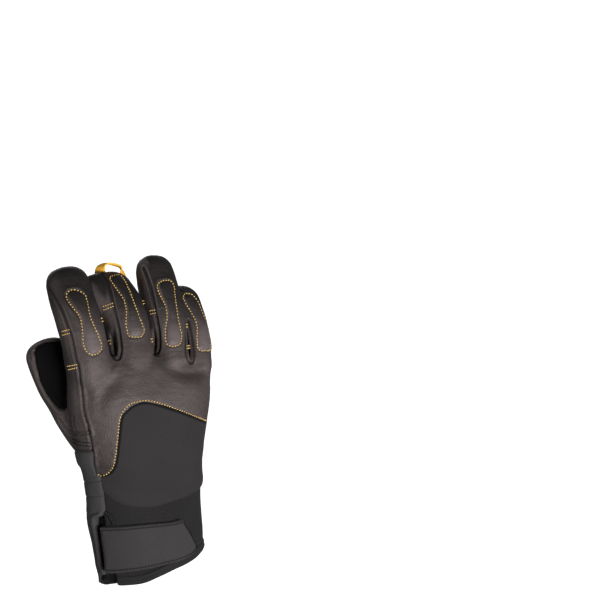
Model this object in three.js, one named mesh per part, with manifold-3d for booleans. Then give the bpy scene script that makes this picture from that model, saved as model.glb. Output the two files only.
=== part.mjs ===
// A padded leather mountaineering glove for the right hand, hung up by the loop on its middle fingertip.
// Millimetres, +Z up, the back of the hand faces -Y and the thumb lies at -X.
// The origin is the top of the inside of the hang loop.
import * as THREE from 'three';
import { mergeVertices } from 'three/addons/utils/BufferGeometryUtils.js';
import Module from 'manifold-3d';

const wasm = await Module();
wasm.setup();

// Thicknesses and clearances
const wall = 3;
const seamGap = 0.3;
const padHeight = 1.6;
const strapThickness = 2.4;
const tapeThickness = 1.6;
const bindingProud = 0.9;
const bindingHeight = 6;

// Half widths of the strips that join the back of the hand to the palm, measured towards back and palm
const sideBackReach = 10;
const sidePalmReach = 9;
const littleBackReach = 2;
const littlePalmReach = 11;
const gussetBackReach = 11;
const gussetPalmReach = 12;
const sideStripDepth = 15;

// Share of the strips' reach that is left at each fingertip, where they narrow
const tipReach = { index: 0.2, middle: 0.9, ring: 0.45, little: 0.5 };
const tipNarrowing = 38;

// Levels of the main seams
const thumbHemLevel = -146;
const palmEdgeLevel = -178;
const fourchetteDrop = 5;

// Sections of the hand and cuff from below the hem up to the knuckles
const handRows = [
  { x: 33.5, y: -15, z: -275, wide: 87, deep: 48 },
  { x: 32, y: -16, z: -238, wide: 92, deep: 48 },
  { x: 29, y: -17.5, z: -216, wide: 96, deep: 47.5 },
  { x: 26.5, y: -19, z: -202, wide: 97, deep: 46.5 },
  { x: 25.5, y: -20, z: -189, wide: 96, deep: 45.5 },
  { x: 23.5, y: -22, z: -170, wide: 99, deep: 46 },
  { x: 19.5, y: -23, z: -154, wide: 107, deep: 47 },
  { x: 18.6, y: -25, z: -125, wide: 115, deep: 48 },
  { x: 18.4, y: -25, z: -108, wide: 120, deep: 46.5 },
  { x: 18.7, y: -24.5, z: -94, wide: 121.5, deep: 42.5 },
  { x: 18.4, y: -24, z: -83, wide: 120, deep: 36 },
  { x: 17.2, y: -23.5, z: -73.5, wide: 108, deep: 22 },
];
const handArch = 4.5;
const handRoundness = 2.25;

// Sections of each digit from its root inside the hand up to its tip. turn is the roll of its back
// towards the little finger, in degrees.
const digitRows = {
  index: [
    { x: -18, y: -23, z: -114, wide: 22, deep: 22, turn: -2 },
    { x: -25.8, y: -23, z: -86, wide: 32.5, deep: 28.5, turn: -4 },
    { x: -29.7, y: -21.5, z: -61, wide: 33.5, deep: 29, turn: -5 },
    { x: -32.7, y: -16.5, z: -44, wide: 33.5, deep: 28, turn: -5 },
    { x: -35.5, y: -9, z: -26, wide: 33, deep: 26, turn: -5 },
    { x: -38, y: 0, z: -4, wide: 32, deep: 22, turn: -5 },
  ],
  middle: [
    { x: 10, y: -25, z: -114, wide: 22, deep: 22, turn: 2 },
    { x: 9.5, y: -24, z: -84, wide: 33, deep: 29.5, turn: 3 },
    { x: 8.2, y: -20, z: -53, wide: 34, deep: 29, turn: 3 },
    { x: 4.8, y: -13.5, z: -34, wide: 36, deep: 28, turn: 3 },
    { x: -0.5, y: -7, z: -20, wide: 38, deep: 25, turn: 3 },
    { x: -4, y: 0, z: -8.5, wide: 38, deep: 20, turn: 3 },
  ],
  ring: [
    { x: 45, y: -24, z: -114, wide: 22, deep: 22, turn: 6 },
    { x: 46.2, y: -22.5, z: -84, wide: 33, deep: 29.5, turn: 8 },
    { x: 45.2, y: -20, z: -58, wide: 33.5, deep: 29, turn: 10 },
    { x: 43, y: -15.5, z: -39, wide: 33, deep: 28, turn: 10 },
    { x: 40.8, y: -9, z: -20, wide: 32, deep: 25, turn: 10 },
    { x: 38.6, y: 0, z: 6.5, wide: 29, deep: 21, turn: 10 },
  ],
  little: [
    { x: 60, y: -20, z: -114, wide: 20, deep: 20, turn: 14 },
    { x: 65, y: -18, z: -86, wide: 30, deep: 27, turn: 17 },
    { x: 67.6, y: -14, z: -62, wide: 31, deep: 26.5, turn: 20 },
    { x: 67, y: -8, z: -44, wide: 30.5, deep: 25, turn: 20 },
    { x: 64.6, y: 2, z: -18, wide: 27, deep: 20, turn: 20 },
  ],
  thumb: [
    { x: -4, y: -13, z: -152, wide: 32, deep: 27, turn: -22 },
    { x: -20, y: -5, z: -133, wide: 37, deep: 31, turn: -24 },
    { x: -32, y: 5, z: -109, wide: 37, deep: 30, turn: -26 },
    { x: -40, y: 11, z: -89, wide: 36, deep: 29, turn: -26 },
    { x: -49, y: 16, z: -60, wide: 36, deep: 23, turn: -26 },
  ],
};
const digitRoundness = 2.25;
const tipRoundness = 2.5;
const tipLength = 15;
const thumbSplit = -1;
const thumbPanelStart = 44;
const thumbPanelReach = 14;
const thumbTipLeather = 6;

// Crotches between the fingers, where the strips between them turn round in a U
const crotches = [
  { name: 'index_middle', left: 'index', right: 'middle', level: -76.7 },
  { name: 'middle_ring', left: 'middle', right: 'ring', level: -72.8 },
  { name: 'ring_little', left: 'ring', right: 'little', level: -79 },
];

// Hollows and swellings of the back of the hand, as soft round dents: depth is towards the palm
const dents = [
  { x: 60, z: -88, reachX: 16, reachZ: 6, depth: 3.4 },
  { x: 58, z: -99, reachX: 14, reachZ: 7, depth: -1.6 },
  { x: -14, z: -92, reachX: 12, reachZ: 9, depth: 2.4 },
  { x: 28, z: -86, reachX: 10, reachZ: 6, depth: 1.8 },
  { x: 24, z: -184, reachX: 60, reachZ: 7, depth: 1.6 },
  { x: 26, z: -168, reachX: 50, reachZ: 8, depth: -1.2 },
];

// Leather edge over the wrist panel, from the thumb side to the little finger side
const leatherEdge = [
  { x: -80, z: -161 },
  { x: -44, z: -161.5 },
  { x: -27, z: -163.5 },
  { x: -17, z: -164 },
  { x: -12.5, z: -157 },
  { x: -11, z: -141 },
  { x: -10, z: -122 },
  { x: -6.5, z: -114 },
  { x: 1, z: -108.5 },
  { x: 13, z: -107 },
  { x: 34, z: -112 },
  { x: 61, z: -121 },
  { x: 93, z: -129 },
];

// Lower edge of the wrist panel
const panelEdge = [
  { x: -44, z: -169 },
  { x: -19, z: -180.5 },
  { x: -8, z: -187 },
  { x: 3, z: -190.5 },
  { x: 16, z: -191.5 },
  { x: 29, z: -189 },
  { x: 46, z: -184 },
  { x: 68, z: -177.5 },
  { x: 94, z: -169 },
];

// Bottom edge of the cuff
const hemEdge = [
  { x: -60, z: -222 },
  { x: -19, z: -240 },
  { x: -12, z: -250 },
  { x: 2, z: -256 },
  { x: 14, z: -255.5 },
  { x: 27, z: -251.5 },
  { x: 40, z: -245.5 },
  { x: 58, z: -238 },
  { x: 73, z: -229 },
  { x: 100, z: -211 },
];
const hemDropTowardsPalm = 0.12;

// Outline of the closure strap, laid on the front of the cuff
const strapOutline = [
  { x: -18.5, z: -206.5 },
  { x: 47, z: -204 },
  { x: 51, z: -206.5 },
  { x: 62, z: -221.5 },
  { x: 61, z: -226.5 },
  { x: 53, z: -232 },
  { x: 35, z: -237.5 },
  { x: 10, z: -242.5 },
  { x: -6, z: -244 },
  { x: -13.5, z: -244 },
];

// Knuckle pads: where each runs along its finger and its half widths at head, waist and foot
const pads = {
  index: { from: 45, to: 94, headShift: -0.5, footShift: 1.5, head: 8, waist: 4.4, foot: 7.4 },
  middle: { from: 56, to: 103, headShift: 0, footShift: -0.5, head: 6.4, waist: 5, foot: 7 },
  ring: { from: 49, to: 100, headShift: -1.5, footShift: -5, head: 7, waist: 4.8, foot: 7 },
  little: { from: 45, to: 88, headShift: -3, footShift: -1, head: 5.8, waist: 4.8, foot: 6.4 },
};

// Loops of tape at the middle fingertip and at the palm side of the hem
const hangLoop = { wide: 8, legSpread: 18, height: 16, turn: 8, legTurn: 75 };
const pullLoop = { x: 50, y: 9.6, z: -240, wide: 7, legSpread: 12, height: 12, rise: 9, legTurn: 90 };

// Slit beside the root of the strap, with a wider hole at its top
const slit = { x: -17.5, wide: 1.6, top: -204, bottom: -262, lean: 0.05 };
const slitHole = { x: -17, z: -202, wide: 6, tall: 8.5 };

// Fineness of the outer skins and of the plainer hollow inside them
const outerMesh = { handSides: 24, handSteps: 12, digitSides: 14, digitStep: 17, dome: [38, 66] };
const hollowMesh = { handSides: 16, handSteps: 8, digitSides: 8, digitStep: 28, dome: [50] };

const point = (row) => new THREE.Vector3(row.x, row.y, row.z);
const smooth = (points) => new THREE.CatmullRomCurve3(points, false, 'catmullrom', 0.5);

// A closed lofted skin through rings of points, with a fan over each end
function loft(rings) {
  const count = rings[0].length;
  const positions = rings.flat().flatMap((corner) => corner.toArray());
  const triangles = [];
  for (let row = 0; row + 1 < rings.length; row += 1) {
    for (let column = 0; column < count; column += 1) {
      const here = row * count + column;
      const next = row * count + ((column + 1) % count);
      triangles.push(here, next, next + count);
      triangles.push(here, next + count, here + count);
    }
  }
  const ends = [rings[0], rings[rings.length - 1]];
  ends.forEach((ring, end) => {
    const centre = ring.reduce((sum, corner) => sum.add(corner), new THREE.Vector3());
    centre.divideScalar(count);
    positions.push(...centre.toArray());
    const middle = rings.length * count + end;
    const base = end * (rings.length - 1) * count;
    for (let column = 0; column < count; column += 1) {
      const here = base + column;
      const next = base + ((column + 1) % count);
      triangles.push(...(end === 0 ? [middle, next, here] : [middle, here, next]));
    }
  });
  const geometry = new THREE.BufferGeometry();
  geometry.setAttribute('position', new THREE.Float32BufferAttribute(positions, 3));
  geometry.setIndex(triangles);
  return geometry;
}

function toSolid(geometry) {
  const bare = geometry.clone();
  bare.deleteAttribute('normal');
  bare.deleteAttribute('uv');
  const merged = mergeVertices(bare, 1e-4);
  return new wasm.Manifold(new wasm.Mesh({
    numProp: 3,
    vertProperties: new Float32Array(merged.attributes.position.array),
    triVerts: new Uint32Array(merged.index.array),
  }));
}

// The middle line of a digit or the hand, with its own directions across and towards the palm
function makeGuide(rows) {
  const middle = smooth(rows.map(point));
  const sizes = smooth(rows.map((row) => new THREE.Vector3(row.wide, row.deep, row.turn ?? 0)));
  const length = middle.getLength();
  function station(distance) {
    const held = THREE.MathUtils.clamp(distance, 0, length);
    const share = middle.getUtoTmapping(0, held);
    const along = middle.getTangent(share);
    const centre = middle.getPoint(share).addScaledVector(along, distance - held);
    const size = sizes.getPoint(share);
    const turn = THREE.MathUtils.degToRad(size.z);
    const across = new THREE.Vector3(Math.cos(turn), Math.sin(turn), 0);
    across.addScaledVector(along, -across.dot(along)).normalize();
    const palmward = along.clone().cross(across);
    return { centre, along, across, palmward, halfWide: size.x / 2, halfDeep: size.y / 2 };
  }
  return { station, length };
}

const guides = Object.fromEntries(
  Object.entries(digitRows).map(([name, rows]) => [name, makeGuide(rows)]),
);
const handGuide = makeGuide(handRows);

function placed(station, across, palmward) {
  return station.centre.clone()
    .addScaledVector(station.across, across)
    .addScaledVector(station.palmward, palmward);
}

// One rounded-rectangle ring of a section, as a superellipse
function sectionRing(station, halfWide, halfDeep, power, segments, arch) {
  return Array.from({ length: segments }, (_, column) => {
    const angle = (2 * Math.PI * column) / segments;
    const cosine = Math.cos(angle);
    const sine = Math.sin(angle);
    const across = halfWide * Math.sign(cosine) * Math.abs(cosine) ** (2 / power);
    const palmward = halfDeep * Math.sign(sine) * Math.abs(sine) ** (2 / power);
    return placed(station, across, palmward + arch * (across / halfWide) ** 2);
  });
}

// Distances of the rings along a digit: even steps, then closer ones over the round tip
function digitDistances(length, inset, mesh) {
  const start = length - tipLength;
  const steps = Math.round(start / mesh.digitStep);
  const shaft = Array.from({ length: steps + 1 }, (_, step) => (start * step) / steps);
  const reach = tipLength - inset;
  const dome = mesh.dome.map((angle) => start + reach * Math.sin(THREE.MathUtils.degToRad(angle)));
  return [...shaft, ...dome];
}

// A digit's tube, drawn in by inset all round. It narrows over the tip as a superellipse.
function digitTube(guide, inset) {
  const mesh = inset > 0 ? hollowMesh : outerMesh;
  const start = guide.length - tipLength;
  const reach = tipLength - inset;
  const rings = digitDistances(guide.length, inset, mesh).map((distance) => {
    const station = guide.station(distance);
    const share = Math.max(0, distance - start) / reach;
    const narrow = (1 - share ** tipRoundness) ** (1 / tipRoundness);
    const halfWide = (station.halfWide - inset) * narrow;
    const halfDeep = (station.halfDeep - inset) * narrow;
    return sectionRing(station, halfWide, halfDeep, digitRoundness, mesh.digitSides, 0);
  });
  const tip = guide.station(guide.length - inset);
  const tipSize = 0.6;
  rings.push(sectionRing(tip, tipSize, tipSize, digitRoundness, mesh.digitSides, 0));
  return toSolid(loft(rings));
}

// How far the back of the hand is pressed in at a place, as a sum of bell curves
function dentDepth(x, z) {
  return dents.reduce((sum, dent) => {
    const across = (x - dent.x) / dent.reachX;
    const up = (z - dent.z) / dent.reachZ;
    return sum + dent.depth * Math.exp(-across * across - up * up);
  }, 0);
}

function handTube(inset) {
  const mesh = inset > 0 ? hollowMesh : outerMesh;
  const steps = mesh.handSteps;
  const rings = Array.from({ length: steps + 1 }, (_, step) => {
    const station = handGuide.station(((handGuide.length - inset) * step) / steps);
    const halfWide = station.halfWide - inset;
    const halfDeep = station.halfDeep - inset;
    const ring = sectionRing(station, halfWide, halfDeep, handRoundness, mesh.handSides, handArch);
    return ring.map((corner) => {
      const backShare = THREE.MathUtils.clamp((station.centre.y - corner.y) / halfDeep, 0, 1);
      return corner.add(new THREE.Vector3(0, dentDepth(corner.x, corner.z) * backShare, 0));
    });
  });
  return toSolid(loft(rings));
}

// A four-sided block carried along a guide between distances. Each side is a number or a
// function of the distance: across from left to right, and from back to palm.
function guideBlock(guide, from, to, step, left, right, back, palm) {
  const read = (value, distance, station) => (
    typeof value === 'function' ? value(distance, station) : value
  );
  const distances = [from];
  for (let distance = step * Math.ceil((from + 1) / step); distance < to - 1; distance += step) {
    distances.push(distance);
  }
  distances.push(to);
  const rings = distances.map((distance) => {
    const station = guide.station(distance);
    const sides = [left, right, back, palm].map((value) => read(value, distance, station));
    return [
      placed(station, sides[0], sides[2]),
      placed(station, sides[1], sides[2]),
      placed(station, sides[1], sides[3]),
      placed(station, sides[0], sides[3]),
    ];
  });
  return toSolid(loft(rings));
}

// Share of a strip's full reach at a distance along a finger
function reachShare(name, distance) {
  const share = THREE.MathUtils.smoothstep(distance, guides[name].length - tipNarrowing, guides[name].length);
  return THREE.MathUtils.lerp(1, tipReach[name], share);
}

// A block between the middle lines of two neighbouring fingers, from below the crotch past both tips
function betweenFingers(crotch, grow) {
  const left = guides[crotch.left];
  const right = guides[crotch.right];
  const below = crotch.level - fourchetteDrop;
  const startOf = (guide) => {
    let distance = 0;
    while (guide.station(distance).centre.z < below) {
      distance += 0.25;
    }
    return distance;
  };
  const starts = [startOf(left), startOf(right)];
  const pastTip = 12;
  const steps = 7;
  const half = seamGap / 2;
  const rings = Array.from({ length: steps + 1 }, (_, step) => {
    const share = step / steps;
    const sink = step === 0 ? grow : 0;
    const ends = [left, right].map((guide, side) => {
      const distance = starts[side] + (guide.length + pastTip - starts[side]) * share;
      const finger = side === 0 ? crotch.left : crotch.right;
      return {
        station: guide.station(distance - sink),
        reach: sideBackReach * reachShare(finger, distance) + grow,
      };
    });
    return [
      placed(ends[0].station, half - grow, -ends[0].reach),
      placed(ends[1].station, grow - half, -ends[1].reach),
      placed(ends[1].station, grow - half, ends[1].reach),
      placed(ends[0].station, half - grow, ends[0].reach),
    ];
  });
  return toSolid(loft(rings));
}

// A block in front view: everything above or below a smooth edge line, right through the glove
function edgeBlock(edge, lift, towards, shear) {
  const curve = smooth(edge.map((row) => new THREE.Vector3(row.x, row.z + lift, 0)));
  const line = curve.getPoints((edge.length - 1) * 2);
  const far = 400 * towards;
  const shape = new THREE.Shape();
  shape.moveTo(line[0].x, line[0].y);
  line.slice(1).forEach((corner) => shape.lineTo(corner.x, corner.y));
  shape.lineTo(line[line.length - 1].x, far);
  shape.lineTo(line[0].x, far);
  shape.closePath();
  return frontPrism(shape, -90, 90, shear);
}

// A front-view outline made solid from one depth to another
function frontPrism(shape, fromY, toY, shear) {
  const geometry = new THREE.ExtrudeGeometry(shape, { depth: toY - fromY, bevelEnabled: false });
  geometry.rotateX(Math.PI / 2);
  geometry.translate(0, toY, 0);
  const lean = new THREE.Matrix4().set(1, 0, 0, 0, 0, 1, 0, 0, 0, -shear, 1, 0, 0, 0, 0, 1);
  geometry.applyMatrix4(lean);
  return toSolid(geometry);
}

function largest(solid) {
  return solid.decompose().sort((one, other) => other.volume() - one.volume())[0];
}

const fingers = ['index', 'middle', 'ring', 'little'];
const joinAll = (solids) => solids.reduce((sum, solid) => sum.add(solid));

// Hand and fingers in one skin, drawn in by inset
function handSkin(inset) {
  return joinAll([handTube(inset), ...fingers.map((name) => digitTube(guides[name], inset))]);
}

// Long strips down the thumb side and the little finger side of the hand
function handSide(direction, topLevel, bottomLevel, back, palm, grow) {
  const base = handRows[0].z;
  const inner = (distance, station) => direction * (station.halfWide - sideStripDepth - grow);
  const outer = (distance, station) => direction * (station.halfWide + 20);
  const sides = direction < 0 ? [outer, inner] : [inner, outer];
  const from = bottomLevel - base;
  const to = topLevel - base;
  return guideBlock(handGuide, from, to, 24, ...sides, handArch - back, handArch + palm);
}

function indexStripBlock(grow) {
  const back = (distance) => -sideBackReach * reachShare('index', distance) - grow;
  const palm = (distance) => sidePalmReach * reachShare('index', distance) + grow;
  const finger = guideBlock(
    guides.index, 24, guides.index.length + 12, 10, -40, grow - seamGap / 2, back, palm,
  );
  const bottom = thumbHemLevel - grow;
  const hand = handSide(-1, -84, bottom, sideBackReach + grow, sidePalmReach + grow, grow);
  return finger.add(hand);
}

function littleStripBlock(grow) {
  const back = (distance) => -littleBackReach * reachShare('little', distance) - grow;
  const palm = (distance) => littlePalmReach * reachShare('little', distance) + grow;
  const finger = guideBlock(
    guides.little, 24, guides.little.length + 12, 16, seamGap / 2 - grow, 40, back, palm,
  );
  const bottom = palmEdgeLevel - grow;
  const hand = handSide(1, -84, bottom, littleBackReach + grow, littlePalmReach + grow, grow);
  return finger.add(hand);
}

function gussetBlock(grow) {
  const top = thumbHemLevel + grow - seamGap;
  return handSide(-1, top, -272, gussetBackReach + grow, gussetPalmReach + grow, grow);
}

function slitSolid() {
  const shape = new THREE.Shape();
  const half = slit.wide / 2;
  const shift = (slit.top - slit.bottom) * slit.lean;
  shape.moveTo(slit.x - half, slit.top);
  shape.lineTo(slit.x + shift - half, slit.bottom);
  shape.lineTo(slit.x + shift + half, slit.bottom);
  shape.lineTo(slit.x + half, slit.top);
  shape.closePath();
  const hole = new THREE.Shape();
  hole.absellipse(slitHole.x, slitHole.z, slitHole.wide / 2, slitHole.tall / 2, 0, 2 * Math.PI);
  return frontPrism(shape, -60, handGuide.station(60).centre.y, 0).add(
    frontPrism(hole, -60, handGuide.station(60).centre.y, 0),
  );
}

function strapSolid() {
  const shape = new THREE.Shape(strapOutline.map((row) => new THREE.Vector2(row.x, row.z)));
  const band = handTube(-seamGap - strapThickness).subtract(handTube(-seamGap));
  return largest(band.intersect(frontPrism(shape, -70, -22, 0)));
}

// Half width of a knuckle pad along its finger: round head, waist and foot
function padHalfWidth(pad, distance) {
  const share = THREE.MathUtils.clamp((distance - pad.from) / (pad.to - pad.from), 0, 1);
  const body = THREE.MathUtils.lerp(pad.foot, pad.head, share);
  const pinch = (body - pad.waist) * Math.sin(Math.PI * share) ** 2;
  const endRound = Math.min(1, Math.min(share, 1 - share) / 0.13);
  return Math.max(0.4, (body - pinch) * Math.sqrt(1 - (1 - endRound) ** 2));
}

function padSolid(name) {
  const pad = pads[name];
  const guide = guides[name];
  const halfWidth = (distance) => padHalfWidth(pad, distance);
  const shift = (distance) => THREE.MathUtils.mapLinear(
    distance, pad.from, pad.to, pad.footShift, pad.headShift,
  );
  const block = guideBlock(
    guide,
    pad.from,
    pad.to,
    5,
    (distance) => shift(distance) - halfWidth(distance),
    (distance) => shift(distance) + halfWidth(distance),
    -40,
    0,
  );
  const shell = digitTube(guide, -seamGap - padHeight).subtract(handSkin(-seamGap));
  return largest(shell.intersect(block));
}

// A strip of tape bent into a loop in the XZ plane. Its width stands across the loop at the top and
// turns by legTurn degrees towards the loop's own plane down both legs.
function tapeLoop(points, wide, legTurn) {
  const path = smooth(points);
  const steps = 14;
  const rings = Array.from({ length: steps + 1 }, (_, step) => {
    const share = step / steps;
    const centre = path.getPointAt(share);
    const tangent = path.getTangentAt(share);
    const legShare = THREE.MathUtils.smoothstep(Math.abs(2 * share - 1), 0.25, 0.8);
    const widthWay = new THREE.Vector3(0, 1, 0);
    widthWay.applyAxisAngle(tangent, THREE.MathUtils.degToRad(legTurn) * legShare);
    const thickWay = tangent.clone().cross(widthWay);
    const corner = (across, through) => centre.clone()
      .addScaledVector(widthWay, (across * wide) / 2)
      .addScaledVector(thickWay, (through * tapeThickness) / 2);
    return [corner(-1, -1), corner(1, -1), corner(1, 1), corner(-1, 1)];
  });
  return loft(rings);
}

function hangLoopSolid() {
  const spread = hangLoop.legSpread / 2;
  const top = tapeThickness / 2;
  const points = [
    [-spread, -hangLoop.height],
    [-spread * 0.97, -hangLoop.height * 0.55],
    [-spread * 0.78, -hangLoop.height * 0.1],
    [0, top],
    [spread * 0.78, -hangLoop.height * 0.1],
    [spread * 0.97, -hangLoop.height * 0.55],
    [spread, -hangLoop.height],
  ].map(([x, z]) => new THREE.Vector3(x, 0, z));
  const geometry = tapeLoop(points, hangLoop.wide, hangLoop.legTurn);
  geometry.rotateZ(THREE.MathUtils.degToRad(hangLoop.turn));
  return largest(toSolid(geometry).subtract(handSkin(-seamGap)));
}

function pullLoopSolid() {
  const spread = pullLoop.legSpread / 2;
  const points = [
    [-spread, pullLoop.rise],
    [-spread, 0],
    [-spread * 0.8, -pullLoop.height * 0.7],
    [0, -pullLoop.height],
    [spread * 0.8, -pullLoop.height * 0.7],
    [spread, 0],
    [spread, pullLoop.rise],
  ].map(([x, z]) => new THREE.Vector3(pullLoop.x + x, pullLoop.y, pullLoop.z + z));
  const geometry = tapeLoop(points, pullLoop.wide, pullLoop.legTurn);
  return largest(toSolid(geometry).subtract(handTube(-seamGap - bindingProud)));
}

// Materials, from the glove's own leathers and cloths
function material(color, roughness) {
  return new THREE.MeshStandardMaterial({ color, roughness, metalness: 0 });
}
const leather = material(0x3a3334, 0.5);
const palmHide = material(0x242122, 0.6);
const wipeCloth = material(0x161516, 0.9);
const softshell = material(0x37383a, 0.85);
const stretchKnit = material(0x2b2a2c, 0.9);
const strapCloth = material(0x3c3a3b, 0.8);
const binding = material(0x1c1b1c, 0.85);
const yellowTape = material(0xf0b132, 0.7);
const blackTape = material(0x151515, 0.8);

const glove = new THREE.Group();
glove.name = 'mountaineering_glove';

function addPiece(name, solid, finish) {
  const mesh = solid.getMesh();
  const geometry = new THREE.BufferGeometry();
  geometry.setAttribute('position', new THREE.BufferAttribute(new Float32Array(mesh.vertProperties), 3));
  geometry.setIndex(new THREE.BufferAttribute(new Uint32Array(mesh.triVerts), 1));
  geometry.computeVertexNormals();
  const piece = new THREE.Mesh(geometry, finish);
  piece.name = name;
  glove.add(piece);
}

function buildGlove() {
  const thumbHollow = digitTube(guides.thumb, wall);
  const shell = handSkin(0).subtract(handSkin(wall)).subtract(thumbHollow);
  const aboveHem = edgeBlock(hemEdge, 0, 1, hemDropTowardsPalm);
  const aboveBinding = edgeBlock(hemEdge, bindingHeight, 1, hemDropTowardsPalm);
  const bindingTop = edgeBlock(hemEdge, bindingHeight - seamGap, 1, hemDropTowardsPalm);
  const body = shell.intersect(aboveBinding).subtract(slitSolid());

  // Strips between the fingers and down both sides
  const gusset = gussetBlock(0);
  addPiece('side_strip_index', largest(body.intersect(indexStripBlock(0))), leather);
  crotches.forEach((crotch) => {
    const strip = largest(body.intersect(betweenFingers(crotch, 0)));
    addPiece(`fourchette_${crotch.name}`, strip, leather);
  });
  addPiece('side_strip_little', largest(body.intersect(littleStripBlock(0))), leather);
  addPiece('side_gusset', largest(body.intersect(gusset)), softshell);

  // What is left of the skin falls into back, palm, wrist panel and cuff
  const strips = joinAll([
    indexStripBlock(seamGap),
    littleStripBlock(seamGap),
    gussetBlock(seamGap),
    ...crotches.map((crotch) => betweenFingers(crotch, seamGap)),
  ]);
  const panels = body.subtract(strips);
  const middleY = handGuide.station(100).centre.y + handArch;
  const backHalf = frontPrism(rectangle(-100, 120, -300, 60), -90, middleY, 0);
  const panelHalf = frontPrism(rectangle(-100, 120, -300, 60), -90, middleY - 1 - seamGap, 0);
  const palmHalf = frontPrism(rectangle(-100, 120, -300, 60), middleY - 1, 90, 0);
  const aboveLeatherEdge = edgeBlock(leatherEdge, 0, 1, 0);
  const belowLeatherEdge = edgeBlock(leatherEdge, -seamGap, -1, 0);
  const abovePanelEdge = edgeBlock(panelEdge, 0, 1, 0);
  const belowPanelEdge = edgeBlock(panelEdge, -seamGap, -1, 0);
  const wristPanel = panels.intersect(panelHalf).intersect(belowLeatherEdge).intersect(abovePanelEdge);
  const palmEdge = rectangle(-100, 120, palmEdgeLevel, 60);
  const palmCuff = rectangle(-100, 120, -300, palmEdgeLevel - seamGap);
  const upper = panels.intersect(aboveLeatherEdge.add(palmHalf)).intersect(
    frontPrism(palmEdge, -90, 90, 0),
  );
  const uppers = upper.decompose().sort((one, other) => other.volume() - one.volume()).slice(0, 2);
  uppers.sort((one, other) => one.boundingBox().min[1] - other.boundingBox().min[1]);
  addPiece('back_leather', uppers[0], leather);
  addPiece('palm_leather', uppers[1], palmHide);
  addPiece('wrist_panel', largest(wristPanel), softshell);
  const cuffPlace = backHalf.intersect(belowPanelEdge).subtract(palmHalf).add(
    palmHalf.intersect(frontPrism(palmCuff, -90, 90, 0)),
  );
  addPiece('stretch_cuff', largest(panels.intersect(cuffPlace)), stretchKnit);

  // Thumb, split along its length into leather and the soft back panel
  const thumbSkin = digitTube(guides.thumb, 0).subtract(thumbHollow).subtract(handSkin(-seamGap));
  const panelEnd = guides.thumb.length - thumbTipLeather;
  const panelBlock = (grow) => guideBlock(
    guides.thumb,
    thumbPanelStart - grow,
    panelEnd + grow,
    8,
    -thumbPanelReach - grow,
    40,
    -40,
    thumbSplit + grow,
  );
  addPiece('thumb_leather', largest(thumbSkin.subtract(panelBlock(seamGap))), leather);
  addPiece('thumb_wipe_panel', largest(thumbSkin.intersect(panelBlock(0))), wipeCloth);

  // Closure strap, hem binding, knuckle pads and loops
  addPiece('closure_strap', strapSolid().intersect(aboveBinding), strapCloth);
  const bindingRing = handTube(-bindingProud).subtract(handTube(wall + 0.4));
  const hem = bindingRing.intersect(aboveHem).subtract(bindingTop).subtract(slitSolid());
  addPiece('hem_binding', largest(hem), binding);
  fingers.forEach((name) => addPiece(`knuckle_pad_${name}`, padSolid(name), leather));
  addPiece('hang_loop', hangLoopSolid(), yellowTape);
  addPiece('pull_loop', pullLoopSolid(), blackTape);
}

function rectangle(left, right, bottom, top) {
  return new THREE.Shape([
    new THREE.Vector2(left, bottom),
    new THREE.Vector2(right, bottom),
    new THREE.Vector2(right, top),
    new THREE.Vector2(left, top),
  ]);
}

buildGlove();

export default glove;
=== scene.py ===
"""A right-hand mountaineering glove hung up by the loop on its middle fingertip.

Lengths in the tables are millimetres in the frame's own directions: +Z up towards the fingertips,
-Y the way the back of the hand faces, -X towards the thumb. The origin is the top of the inside of
the hang loop. Meshes are made in metres.
"""

import bmesh
import bpy
import numpy as np
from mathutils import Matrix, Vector
from mathutils.bvhtree import BVHTree


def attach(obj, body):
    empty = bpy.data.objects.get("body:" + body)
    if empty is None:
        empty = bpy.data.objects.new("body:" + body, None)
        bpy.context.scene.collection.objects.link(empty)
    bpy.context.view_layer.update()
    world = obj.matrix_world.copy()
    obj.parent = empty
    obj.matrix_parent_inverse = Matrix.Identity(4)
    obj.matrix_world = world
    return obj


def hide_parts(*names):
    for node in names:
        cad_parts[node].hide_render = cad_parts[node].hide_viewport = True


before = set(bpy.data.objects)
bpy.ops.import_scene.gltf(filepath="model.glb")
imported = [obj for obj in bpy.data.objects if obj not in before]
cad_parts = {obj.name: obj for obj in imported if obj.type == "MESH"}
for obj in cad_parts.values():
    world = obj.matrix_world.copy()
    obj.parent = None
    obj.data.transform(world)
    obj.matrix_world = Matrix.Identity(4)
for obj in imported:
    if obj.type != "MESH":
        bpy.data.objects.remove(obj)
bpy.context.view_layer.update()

MM = 0.001

# Roundness of the sections and of the fingertips, a tip's length, and the arch of the hand's back
SECTION_POWER = 2.25
TIP_POWER = {"index": 2.5, "middle": 3.6, "ring": 2.5, "little": 2.5, "thumb": 2.5}
TIP_LENGTH = 15.0
HAND_ARCH = 4.5

# Rows and columns of the pieces' grids, and the share of a digit's rows that lies under its tip
HAND_GRID = (120, 160)
DIGIT_GRID = (110, 90)
THUMB_GRID = (190, 170)
PANEL_GRID = (120, 170)
CUFF_GRID = (96, 300)
GUSSET_GRID = (210, 84)
STRAP_GRID = (110, 200)
HEM_GRID = (420, 44)
SHAFT_SHARE = 0.62

# The two skins made from tubes: size of a voxel, inset from the outside, lowest level. Then the
# lining's wall, and how far its rim lies over the cuff's bottom.
LEATHER_SKIN = (0.88, 0.0, -196.0)
LINING_SKIN = (2.2, 4.6, -262.0)
LINING_WALL = 0.8
LINING_RIM = 2.0

# How the skins are relaxed, as weight and rounds: out of the voxels, over the dents, over the relief,
# at the fingers' roots, and the lining
VOXEL_RELAX = (0.25, 4)
DENT_RELAX = (0.3, 2)
RELIEF_RELAX = (0.35, 2)
ROOT_RELAX = (0.6, 60)
LINING_RELAX = (0.5, 6)

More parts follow.
